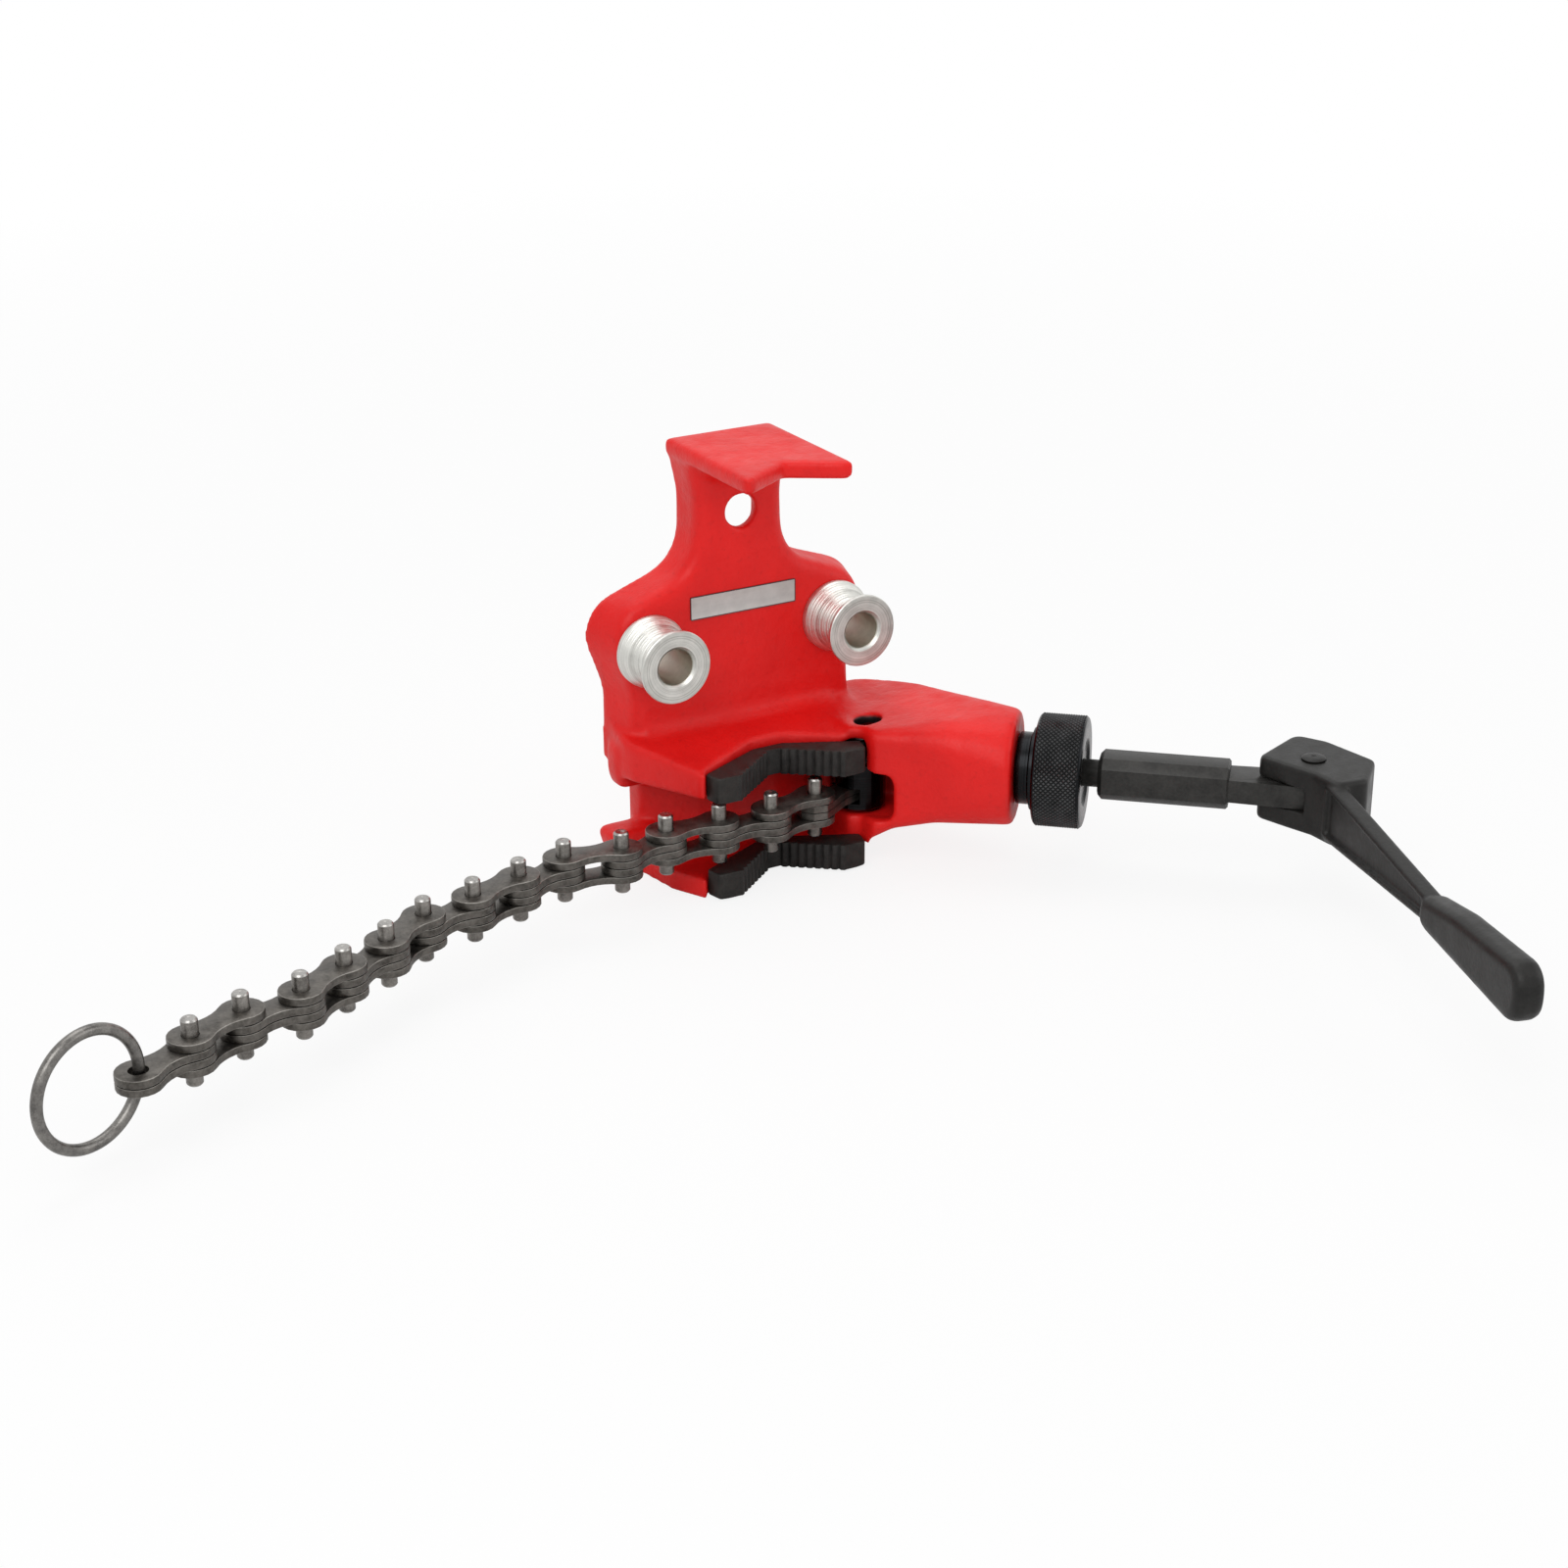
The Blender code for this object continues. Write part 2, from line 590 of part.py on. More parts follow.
def flange_solids():
    """Top flange with its V notch, and the haunch that widens out of the neck to carry it."""
    half = [(0.0, -FLANGE_REACH + NOTCH_DEPTH, 0.0), (NOTCH_HALF, -FLANGE_REACH, FLANGE_EDGE),
            (FLANGE_HALF, -FLANGE_REACH, FLANGE_EDGE), (FLANGE_HALF, PLATE_DEPTH, 0.0)]
    outline = rounded(half + [(-x, y, r) for x, y, r in reversed(half[1:])])
    underside = PLATE_TOP - FLANGE_THICK
    flange = prism(outline, underside, PLATE_TOP)
    back = PLATE_DEPTH - FIT
    side = FLANGE_HALF - FIT
    soften(flange, lambda co: co.y > back and co.z > PLATE_TOP - FIT, FLANGE_BACK_EDGE, 3)
    soften(flange, lambda co: co.z > PLATE_TOP - FIT, FLANGE_EDGE, 2,
           lambda co: co.y > 0.0 and abs(co.x) < side)
    soften(flange, lambda co: co.z < underside + FIT, FLANGE_EDGE / 2, 1, lambda co: co.y > 0.0)
    foot = underside - HAUNCH_DROP
    sections = []
    for height, reach, width in HAUNCH_SHARES:
        half_width = HAUNCH_FOOT_HALF + (FLANGE_HALF - FLANGE_EDGE - HAUNCH_FOOT_HALF) * width
        front = FIT - HAUNCH_REACH * reach
        sections.append((foot + (underside + FIT - foot) * height, (-half_width, half_width),
                         (front, PLATE_DEPTH / 2), HAUNCH_RADIUS))
    return [flange, loft(sections, UPRIGHT, 3)]


def lower_solids():
    """Ramp, crease, shelf, web, claws and arm root."""
    slope = (RAMP_CREST - RAMP_NOSE) / -RAMP_NOSE_Y
    ramp = prism(rounded([
        (-RAMP_BACK_HALF, WEB_BACK, 0.0), (-RAMP_SIDE_HALF, RAMP_SIDE_Y, RAMP_CORNER),
        (-RAMP_SHOULDER_HALF, RAMP_SHOULDER_Y, RAMP_CORNER), (-RAMP_NOSE_HALF, RAMP_NOSE_Y, 0.0),
        (RAMP_NOSE_HALF, RAMP_NOSE_Y, 0.0), (WEB_RIGHT, -RAMP_SIDE_Y, 0.0), (WEB_RIGHT, WEB_BACK, 0.0)]),
        RAMP_FOOT, RAMP_CREST, slope=slope)
    soften(ramp, lambda co: co.x < RAMP_NOSE_HALF / 2 and co.y < WEB_BACK - FIT and co.z > RAMP_NOSE - FIT,
           RAMP_EDGE, 3)
    soften(ramp, lambda co: co.x < -RAMP_NOSE_HALF + RAMP_EDGE and co.z < RAMP_FOOT + FIT, RAMP_FOOT_EDGE, 1)
    nose = RAMP_CREST - slope * CREASE_RADIUS * 1.3 - FIT
    reach = CREASE_RADIUS * 1.3
    fillet = rounded([(PLATE_EDGE, RAMP_FOOT + RAMP_EDGE, 0.0), (-reach, RAMP_FOOT + RAMP_EDGE, 0.0),
                      (-reach, nose, 0.0), (-FIT, RAMP_CREST, CREASE_RADIUS),
                      (-FIT, RAMP_CREST + reach, 0.0), (PLATE_EDGE, RAMP_CREST + reach, 0.0)], FINE_STEP)
    crease = prism(fillet, -CREASE_HALF, CREASE_HALF - PLATE_EDGE, ALONG_X)
    shelf = prism(rounded([
        (-SHELF_SIDE_HALF, SHELF_BACK_Y, SHELF_CORNER), (-SHELF_SIDE_HALF, 0.0, SHELF_CORNER),
        (-SHELF_BEND_HALF, SHELF_BEND_Y, CREASE_RADIUS), (-RAMP_NOSE_HALF, RAMP_NOSE_Y, SHELF_CORNER),
        (JAW_TIP_HALF + JAW_EDGE, JAW_TIP_Y, 0.0), (SHELF_RIGHT, WEB_FRONT_Y, SHELF_CORNER),
        (SHELF_RIGHT, SHELF_BACK_Y, SHELF_CORNER)]), 0.0, SHELF_TOP)
    soften(shelf, lambda co: co.x < JAW_TIP_HALF and co.y < FIT and co.z > SHELF_TOP - FIT, SHELF_EDGE, 2)
    web = prism(rounded([
        (WEB_LEFT, WEB_BACK - LIFT, SHELF_CORNER), (WEB_LEFT, WEB_LEFT_Y, SHELF_CORNER),
        (WEB_BEND_X, WEB_BEND_Y, CREASE_RADIUS),
        (JAW_APEX_HALF, WEB_FRONT_Y, CREASE_RADIUS), (WEB_RIGHT + LIFT, WEB_FRONT_Y, 0.0),
        (WEB_RIGHT + LIFT, WEB_BACK - LIFT, 0.0)]), LIFT, WEB_TOP)
    upper = prism(rounded([
        (CLAW_ROOT_X, UPPER_CLAW_TOP, 0.0), (UPPER_CLAW_SIDE_X, UPPER_CLAW_TOP, 0.0),
        (UPPER_CLAW_SIDE_X, UPPER_CLAW_BEND, CLAW_RADIUS), (UPPER_CLAW_TIP_X, UPPER_CLAW_FOOT, CLAW_RADIUS),
        (CLAW_ROOT_X, UPPER_CLAW_FOOT, 0.0)]), CLAW_FRONT_Y, CLAW_BACK_Y - LIFT, SIDEWAYS)
    lower = prism(rounded([
        (CLAW_ROOT_X, LOWER_CLAW_TOP, 0.0), (LOWER_CLAW_TIP_X, LOWER_CLAW_TOP, CLAW_RADIUS),
        (LOWER_CLAW_BEND_X, LOWER_CLAW_BEND, CLAW_RADIUS), (LOWER_CLAW_FOOT_X, LOWER_CLAW_FOOT, CLAW_RADIUS),
        (CLAW_ROOT_X, LOWER_CLAW_FOOT, 0.0)]), -FIT, CLAW_BACK_Y - LIFT, SIDEWAYS)
    for claw, front in ((upper, CLAW_FRONT_Y), (lower, -FIT)):
        for face, width in ((front, CLAW_EDGE), (CLAW_BACK_Y - LIFT, CLAW_EDGE / 2)):
            soften(claw, lambda co, face=face: abs(co.y - face) < FIT, width, 2,
                   lambda co: co.x > CLAW_ROOT_X - FIT)
    root = prism(rounded([
        (ROOT_LEFT, ROOT_NOSE_Y, 0.0), (ROOT_NOSE_X, ROOT_NOSE_Y, 0.0),
        (ROOT_CORNER_X, ROOT_CORNER_Y, ROOT_EDGE),
        (ROOT_HEEL_X, ROOT_HEEL_Y, CREASE_RADIUS), (WEB_RIGHT, WEB_BACK + LIFT, CREASE_RADIUS),
        (ROOT_LEFT, WEB_BACK + LIFT, 0.0)]), ROOT_FOOT, ROOT_TOP)
    soften(root, lambda co: co.x > WEB_RIGHT and co.z > ROOT_TOP - FIT, ROOT_EDGE, 2)
    soften(root, lambda co: co.x > WEB_RIGHT and co.z < ROOT_FOOT + FIT, ROOT_EDGE / 2, 1)
    return [ramp, crease, shelf, web, upper, lower, root]


def casting_cuts():
    """Everything that is cut away: jaw seats, holes, window, room for the draw block, hollow back."""
    arm = arm_matrix()
    beyond = PLATE_DEPTH / 8
    seat = prism([(-JAW_TIP_HALF - FIT, JAW_TIP_Y + FIT), (-JAW_APEX_HALF - FIT / 2, JAW_APEX_Y + FIT),
                  (JAW_APEX_HALF + FIT / 2, JAW_APEX_Y + FIT), (JAW_TIP_HALF + FIT, JAW_TIP_Y + FIT),
                  (JAW_TIP_HALF + 3 * FIT, 2 * JAW_NOSE_Y), (-JAW_TIP_HALF - 3 * FIT, 2 * JAW_NOSE_Y)],
                 -beyond, RAMP_CREST + beyond)
    cuts = [seat]
    through = (-beyond, PLATE_DEPTH + beyond)
    for x in (-BOBBIN_HALF_SPACING, BOBBIN_HALF_SPACING):
        cuts.append(cylinder(SPIGOT_RADIUS + FIT, *through, 28, SIDEWAYS, x, BOBBIN_HEIGHT))
    cuts.append(cylinder(NECK_HOLE_RADIUS, *through, 28, SIDEWAYS, 0.0, NECK_HOLE_HEIGHT))
    hollow = rounded([(-HOLLOW_HALF, HOLLOW_LOW, HOLLOW_RADIUS), (HOLLOW_HALF, HOLLOW_LOW, HOLLOW_RADIUS),
                      (HOLLOW_HALF, HOLLOW_HIGH, HOLLOW_RADIUS), (-HOLLOW_HALF, HOLLOW_HIGH, HOLLOW_RADIUS)])
    cuts.append(prism(hollow, HOLLOW_WALL, PLATE_DEPTH + beyond, SIDEWAYS))
    pocket = rounded(mirrored([(POCKET_HALF, POCKET_HIGH, POCKET_RADIUS),
                               (POCKET_HALF, POCKET_SIDE, POCKET_RADIUS),
                               (POCKET_FOOT_HALF, POCKET_LOW, POCKET_RADIUS)]))
    cuts.append(prism(pocket, POCKET_WALL, PLATE_DEPTH + beyond, SIDEWAYS))
    for foot in (UPPER_JAW_FOOT, LOWER_JAW_FOOT):
        height = foot + JAW_THICK / 2
        for radius, start, sides in ((JAW_SCREW_RADIUS, JAW_APEX_Y - beyond, 16),
                                     (JAW_SCREW_HEAD_RADIUS, JAW_SCREW_SEAT_Y, 20)):
            cuts.append(cylinder(radius + FIT, start, through[1], sides, SIDEWAYS, 0.0, height))
    window = rounded([(WINDOW_LEFT, WINDOW_LOW, 0.0), (WINDOW_RIGHT, WINDOW_LOW, WINDOW_RADIUS),
                      (WINDOW_RIGHT, WINDOW_HIGH, WINDOW_RADIUS), (WINDOW_LEFT, WINDOW_HIGH, 0.0)])
    cuts.append(prism(window, WINDOW_FRONT_Y, 0.0, arm @ SIDEWAYS))
    room_start = DRAW_AT - ROOM_RADIUS
    room_end = DRAW_AT + DRAW_TRAVEL + FIT + ROOM_RADIUS
    room = rounded([(room_start, -ROOM_RADIUS, ROOM_RADIUS), (room_end, -ROOM_RADIUS, ROOM_RADIUS),
                    (room_end, ROOM_RADIUS, ROOM_RADIUS), (room_start, ROOM_RADIUS, ROOM_RADIUS)], FINE_STEP)
    cuts.append(prism(room, ROOM_LOW, ROOM_HIGH, arm))
    lift = Matrix.Translation((0.0, 0.0, SCREW_HEIGHT))
    cuts.append(cylinder(SCREW_RADIUS + FIT, 0.0, HOUSING_END + beyond, 24, arm @ lift @ ALONG_X))
    cuts.append(cylinder(OIL_HOLE_RADIUS, ROOM_HIGH - beyond, ROOM_HIGH + 4 * beyond, 24, arm, OIL_HOLE_AT))
    return cuts


def build_casting(material):
    """Body casting in one piece."""
    body = new_object("body_casting", plate_solid())
    combine(body, flange_solids() + lower_solids() + [arm_solid()], "UNION")
    combine(body, casting_cuts(), "DIFFERENCE")
    return finish(body, material)


def jaw_outline():
    """Plan of a jaw: smooth outside, both inner faces cut into rows of hollow teeth."""
    def leg(start, end):
        row = []
        along = Vector(end) - Vector(start)
        across = Vector((-along.y, along.x)).normalized()
        for tooth in range(TEETH_PER_LEG):
            for share, depth in TOOTH_ARC_SHARES:
                point = Vector(start) + along * (tooth + share) / TEETH_PER_LEG - across * TOOTH_DEPTH * depth
                row.append((point.x, point.y))
        return row

    outer = rounded([(JAW_MOUTH_HALF, JAW_NOSE_Y, 0.0), (JAW_NOSE_HALF, JAW_NOSE_Y, JAW_CORNER),
                     (JAW_TIP_HALF, JAW_TIP_Y, JAW_CORNER), (JAW_APEX_HALF, JAW_APEX_Y, JAW_CORNER),
                     (-JAW_APEX_HALF, JAW_APEX_Y, JAW_CORNER), (-JAW_TIP_HALF, JAW_TIP_Y, JAW_CORNER),
                     (-JAW_NOSE_HALF, JAW_NOSE_Y, JAW_CORNER), (-JAW_MOUTH_HALF, JAW_NOSE_Y, 0.0)])
    left = leg((-JAW_MOUTH_HALF, JAW_NOSE_Y), (-JAW_THROAT_HALF, JAW_THROAT_Y))
    right = leg((JAW_THROAT_HALF, JAW_THROAT_Y), (JAW_MOUTH_HALF, JAW_NOSE_Y))
    return outer[:-1] + left + [(-JAW_THROAT_HALF, JAW_THROAT_Y)] + right


def build_jaw(name, foot, material):
    """Toothed jaw with the blind hole for its screw."""
    jaw = prism(jaw_outline(), 0.0, JAW_THICK)
    def smooth_side(co):
        return abs(co.x) > JAW_MOUTH_HALF + FIT or co.y > JAW_THROAT_Y + FIT

    for level in (0.0, JAW_THICK):
        soften(jaw, lambda co, level=level: abs(co.z - level) < FIT and smooth_side(co), JAW_EDGE, 1)
    obj = new_object(name, jaw)
    bottom = JAW_APEX_Y - JAW_SCREW_BITE - FIT
    hole = cylinder(JAW_SCREW_RADIUS + FIT, bottom, 0.0, 16, SIDEWAYS, 0.0, JAW_THICK / 2)
    combine(obj, [hole], "DIFFERENCE")
    obj.location = (0.0, 0.0, foot)
    return finish(obj, material)


def build_jaw_screw(name, foot, material):
    """Socket head screw that holds a jaw from behind."""
    start = JAW_APEX_Y - JAW_SCREW_BITE
    seat = JAW_SCREW_SEAT_Y + FIT
    top = seat + JAW_SCREW_HEAD
    bottom = top - JAW_SCREW_SOCKET_DEPTH
    bm = turned([(0.0, start), (JAW_SCREW_RADIUS, start), (JAW_SCREW_RADIUS, seat),
                 (JAW_SCREW_HEAD_RADIUS, seat), (JAW_SCREW_HEAD_RADIUS, top), (JAW_SCREW_SOCKET_RADIUS, top),
                 (JAW_SCREW_SOCKET_RADIUS, bottom), (0.0, bottom)], 12, SIDEWAYS)
    obj = new_object(name, bm)
    obj.location = (0.0, 0.0, foot + JAW_THICK / 2)
    return finish(obj, material)


def bobbin_mesh(material):
    """Turned bobbin: base rim, cone, waist, front disc, chamfered bore, spigot in the plate."""
    disc_start = BOBBIN_WAIST_AT + BOBBIN_WAIST_LENGTH
    flare_end = BOBBIN_LENGTH - BOBBIN_DISC_RIM
    profile = [
        (BOLT_RADIUS, SPIGOT_LENGTH), (SPIGOT_RADIUS, SPIGOT_LENGTH), (SPIGOT_RADIUS, -FIT),
        (BOBBIN_BASE_RADIUS, -FIT), (BOBBIN_BASE_RADIUS, -BOBBIN_BASE_RIM),
        (BOBBIN_WAIST_RADIUS, -BOBBIN_WAIST_AT), (BOBBIN_WAIST_RADIUS, -disc_start),
        (BOBBIN_DISC_RADIUS, -flare_end), (BOBBIN_DISC_RADIUS, -BOBBIN_LENGTH),
        (BOLT_RADIUS + BOBBIN_CHAMFER, -BOBBIN_LENGTH), (BOLT_RADIUS, -BOBBIN_LENGTH + BOBBIN_CHAMFER)]
    obj = new_object("bobbin", turned(profile, 24, SIDEWAYS))
    mesh = finish(obj, material).data
    bpy.data.objects.remove(obj, do_unlink=True)
    return mesh


def slot_outline(heading):
    """Plan of the draw block's slot: round the anchor eye, then open towards the link over its swing."""
    wide = ANCHOR_EYE_RADIUS + FIT
    reach = 2 * DRAW_RADIUS
    first, last = (heading + swing for swing in DRAW_SWING)
    start, end = last + math.pi / 2, first + 1.5 * math.pi
    arc = [start + (end - start) * share / 5 for share in range(6)]
    outline = [(wide * math.cos(angle), wide * math.sin(angle)) for angle in arc]
    for angle, side in ((first, arc[-1]), (last, arc[0])):
        outline.append((wide * math.cos(side) + reach * math.cos(angle),
                        wide * math.sin(side) + reach * math.sin(angle)))
    return outline


def build_draw(parent, heading, materials):
    """Draw block with its slot and cross bore, and the pin that carries the chain."""
    profile = [(0.0, DRAW_LOW), (DRAW_RADIUS - DRAW_EDGE, DRAW_LOW), (DRAW_RADIUS, DRAW_LOW + DRAW_EDGE),
               (DRAW_RADIUS, DRAW_SHOULDER), (DRAW_TOP_RADIUS, DRAW_SHOULDER + DRAW_EDGE),
               (DRAW_TOP_RADIUS, DRAW_HIGH - DRAW_EDGE), (DRAW_TOP_RADIUS - DRAW_EDGE, DRAW_HIGH),
               (0.0, DRAW_HIGH)]
    block = new_object("draw_block", turned(profile, 28))
    half = PLATE_THICK + FIT * 1.5
    reach = 2 * DRAW_RADIUS
    slot = prism(slot_outline(heading), CHAIN_HEIGHT - half, CHAIN_HEIGHT + half)
    lift = Matrix.Translation((0.0, 0.0, SCREW_HEIGHT))
    bore = cylinder(SCREW_RADIUS + FIT, -reach, reach, 24, lift @ ALONG_X)
    hole = cylinder(ANCHOR_PIN_RADIUS + FIT, DRAW_LOW - DRAW_EDGE, ANCHOR_PIN_HIGH + FIT, 16)
    combine(block, [slot, bore, hole], "DIFFERENCE")
    finish(block, materials["black_oxide"])
    pin = new_object("anchor_pin", cylinder(ANCHOR_PIN_RADIUS, ANCHOR_PIN_LOW, ANCHOR_PIN_HIGH, 16))
    finish(pin, materials["pin_steel"])
    for obj in (block, pin):
        obj.parent = parent


def build_spindle(parent, materials):
    """Draw screw, knob and drive bar, all on the screw axis, local X outward."""
    screw = turned([(0.0, SCREW_START), (SCREW_RADIUS - SCREW_CHAMFER, SCREW_START),
                    (SCREW_RADIUS, SCREW_START + SCREW_CHAMFER), (SCREW_RADIUS, BORE_STEP_AT - FIT),
                    (0.0, BORE_STEP_AT - FIT)], 16, ALONG_X)
    start = HOUSING_END + FIT
    collar = KNOB_START - COLLAR_LENGTH
    knob = turned([
        (SCREW_RADIUS + FIT, start), (HUB_RADIUS - HUB_CHAMFER, start), (HUB_RADIUS, start + HUB_CHAMFER),
        (HUB_RADIUS, collar - HUB_CHAMFER), (COLLAR_RADIUS, collar), (COLLAR_RADIUS, KNOB_START),
        (KNOB_RADIUS - KNOB_CHAMFER, KNOB_START), (KNOB_RADIUS, KNOB_START + KNOB_CHAMFER),
        (KNOB_RADIUS, KNOB_END - KNOB_CHAMFER), (KNOB_RADIUS - KNOB_CHAMFER, KNOB_END),
        (KNOB_FACE_RADIUS + KNOB_FACE_DEPTH, KNOB_END), (KNOB_FACE_RADIUS, KNOB_END - KNOB_FACE_DEPTH),
        (NECK_RADIUS + FIT, KNOB_END - KNOB_FACE_DEPTH), (NECK_RADIUS + FIT, BORE_STEP_AT),
        (SCREW_RADIUS + FIT, BORE_STEP_AT)], 26, ALONG_X)
    flat = BAR_HALF - BAR_CORNER
    section = [(BAR_HALF, flat), (flat, BAR_HALF), (-flat, BAR_HALF), (-BAR_HALF, flat),
               (-BAR_HALF, -flat), (-flat, -BAR_HALF), (flat, -BAR_HALF), (BAR_HALF, -flat)]
    bar = prism(section, BAR_START, BAR_END, ALONG_X)
    soften(bar, lambda co: co.x < BAR_START + FIT, BAR_CHAMFER, 1)
    soften(bar, lambda co: co.x > BAR_END - FIT, BAR_CHAMFER / 2, 1)
    neck = cylinder(NECK_RADIUS, BORE_STEP_AT + FIT, BAR_START + BAR_CHAMFER, 20, ALONG_X)
    eye = LEVER_PIN_AT + TANG_EYE_RADIUS
    tang = prism(rounded([
        (BAR_END - TANG_OVERLAP, -TANG_HALF_WIDTH, 0.0), (eye, -TANG_EYE_RADIUS, TANG_EYE_RADIUS),
        (eye, TANG_EYE_RADIUS, TANG_EYE_RADIUS), (BAR_END - TANG_OVERLAP, TANG_HALF_WIDTH, 0.0)], FINE_STEP),
        -TANG_HALF_THICK, TANG_HALF_THICK)
    hole = cylinder(LEVER_PIN_RADIUS + FIT, -BAR_HALF, BAR_HALF, 20, None, LEVER_PIN_AT)
    shaft = new_object("drive_bar", bar)
    combine(shaft, [neck, tang], "UNION")
    combine(shaft, [hole], "DIFFERENCE")
    finish(shaft, materials["forged_black"])
    shaft.parent = parent
    for name, bm, slot in (("draw_screw", screw, "pin_steel"), ("knurled_knob", knob, "blued_steel")):
        finish(new_object(name, bm), materials[slot]).parent = parent


def build_lever(parent, materials):
    """Knuckle, arm and grip in one piece, and the pin it folds on. Local X runs to the grip."""
    reach = KNUCKLE_REACH
    knuckle = prism(rounded([(x * reach, y * reach, r * KNUCKLE_RADIUS) for x, y, r in KNUCKLE_SHARES]),
                    -KNUCKLE_HALF, KNUCKLE_HALF)
    soften(knuckle, lambda co: abs(co.z) > KNUCKLE_HALF - FIT, KNUCKLE_EDGE, 2)
    upright = Matrix.Rotation(BEAM_TURN, 4, "Z") @ Matrix.Rotation(math.radians(90), 4, "X")
    taper = (BEAM_START_HALF - NECK_END_HALF) / (NECK_AT - BEAM_START)

    def beam_half(at):
        return BEAM_START_HALF - taper * (at - BEAM_START)

    arm = prism([(BEAM_START, -BEAM_START_HALF), (NECK_AT, -NECK_END_HALF),
                 (NECK_AT, NECK_END_HALF), (BEAM_START, BEAM_START_HALF)], -BEAM_HALF, BEAM_HALF)
    soften(arm, lambda co: abs(co.z) > BEAM_HALF - FIT, BEAM_EDGE, 1)
    neck = beam_half(GRIP_START)
    grip = prism(rounded([
        (GRIP_START, -neck, 0.0), (GRIP_STEP_AT, -GRIP_STEP_LOW, GRIP_RADIUS / 2),
        (GRIP_END, -GRIP_END_LOW, GRIP_RADIUS), (GRIP_END, GRIP_END_HIGH, GRIP_RADIUS),
        (GRIP_SWELL_AT, GRIP_SWELL_HIGH, GRIP_SWELL_RADIUS), (GRIP_START, neck, 0.0)]), -GRIP_HALF, GRIP_HALF)
    soften(grip, lambda co: abs(co.z) > GRIP_HALF - FIT, GRIP_EDGE, 2)
    wide = 2 * KNUCKLE_REACH
    slot = prism(rounded([(-wide, -wide, 0.0), (SLOT_END, -wide, 0.0), (SLOT_END, SLOT_END, SLOT_END * 0.9),
                          (-wide, SLOT_END, 0.0)], FINE_STEP), -SLOT_HALF, SLOT_HALF)
    hole = cylinder(LEVER_PIN_RADIUS + FIT, -2 * KNUCKLE_HALF, 2 * KNUCKLE_HALF, 20)
    soft = CHANNEL_DEPTH / 2
    channels = []
    for side, start in ((1, CHANNEL_NEAR_START), (-1, CHANNEL_FAR_START)):
        first, last = beam_half(start) - CHANNEL_RIB, beam_half(CHANNEL_END) - CHANNEL_RIB
        trough = rounded([(start, -first, soft), (CHANNEL_END, -last, soft),
                          (CHANNEL_END, last, soft), (start, first, soft)])
        channels.append(prism(trough, side * (BEAM_HALF - CHANNEL_DEPTH), side * 2 * BEAM_HALF))
    for bm in [arm, grip] + channels:
        bmesh.ops.transform(bm, matrix=upright, verts=bm.verts)
    lever = new_object("lever", knuckle)
    combine(lever, [arm, grip], "UNION")
    combine(lever, [slot, hole] + channels, "DIFFERENCE")
    finish(lever, materials["forged_black"])
    seat = KNUCKLE_HALF + FIT
    head = seat + LEVER_PIN_HEAD
    inset = LEVER_PIN_HEAD_RADIUS - LEVER_PIN_HEAD / 2
    pin = new_object("lever_pin", turned([
        (0.0, -head), (inset, -head), (LEVER_PIN_HEAD_RADIUS, -seat - LEVER_PIN_HEAD / 2),
        (LEVER_PIN_HEAD_RADIUS, -seat), (LEVER_PIN_RADIUS, -seat), (LEVER_PIN_RADIUS, seat),
        (LEVER_PIN_HEAD_RADIUS, seat),
        (LEVER_PIN_HEAD_RADIUS, seat + LEVER_PIN_HEAD / 2), (inset, head), (0.0, head)], 16))
    finish(pin, materials["forged_black"])
    for obj in (lever, pin):
        obj.parent = parent


def link_mesh(name, pitch, waist, eyes, holes, material):
    """Waisted chain plate from the origin along X, with a hole at each end, PLATE_THICK high from Z = 0."""
    def eye(centre, radius, start, end, pieces=6):
        return [(centre + radius * math.cos(start + (end - start) * number / pieces),
                 radius * math.sin(start + (end - start) * number / pieces)) for number in range(pieces + 1)]

    open_angle = math.radians(58)
    outline = eye(0.0, eyes[0], open_angle, 2 * math.pi - open_angle)
    outline += [(pitch / 2, -waist)]
    outline += eye(pitch, eyes[1], open_angle - math.pi, math.pi - open_angle)
    outline += [(pitch / 2, waist)]
    obj = new_object(name, prism(outline, 0.0, PLATE_THICK))
    cuts = [cylinder(radius, -FIT, PLATE_THICK + FIT, PIN_SIDES, None, at)
            for radius, at in zip(holes, (0.0, pitch))]
    combine(obj, cuts, "DIFFERENCE")
    mesh = finish(obj, material).data
    bpy.data.objects.remove(obj, do_unlink=True)
    return mesh


def pin_mesh(material):
    """Long chain pin with chamfered ends, centred on its origin."""
    inset = PIN_RADIUS - PIN_CHAMFER
    shoulder = PIN_HALF - PIN_CHAMFER
    obj = new_object("pin", turned([(0.0, -PIN_HALF), (inset, -PIN_HALF), (PIN_RADIUS, -shoulder),
                                    (PIN_RADIUS, shoulder), (inset, PIN_HALF), (0.0, PIN_HALF)], PIN_SIDES))
    mesh = finish(obj, material).data
    bpy.data.objects.remove(obj, do_unlink=True)
    return mesh


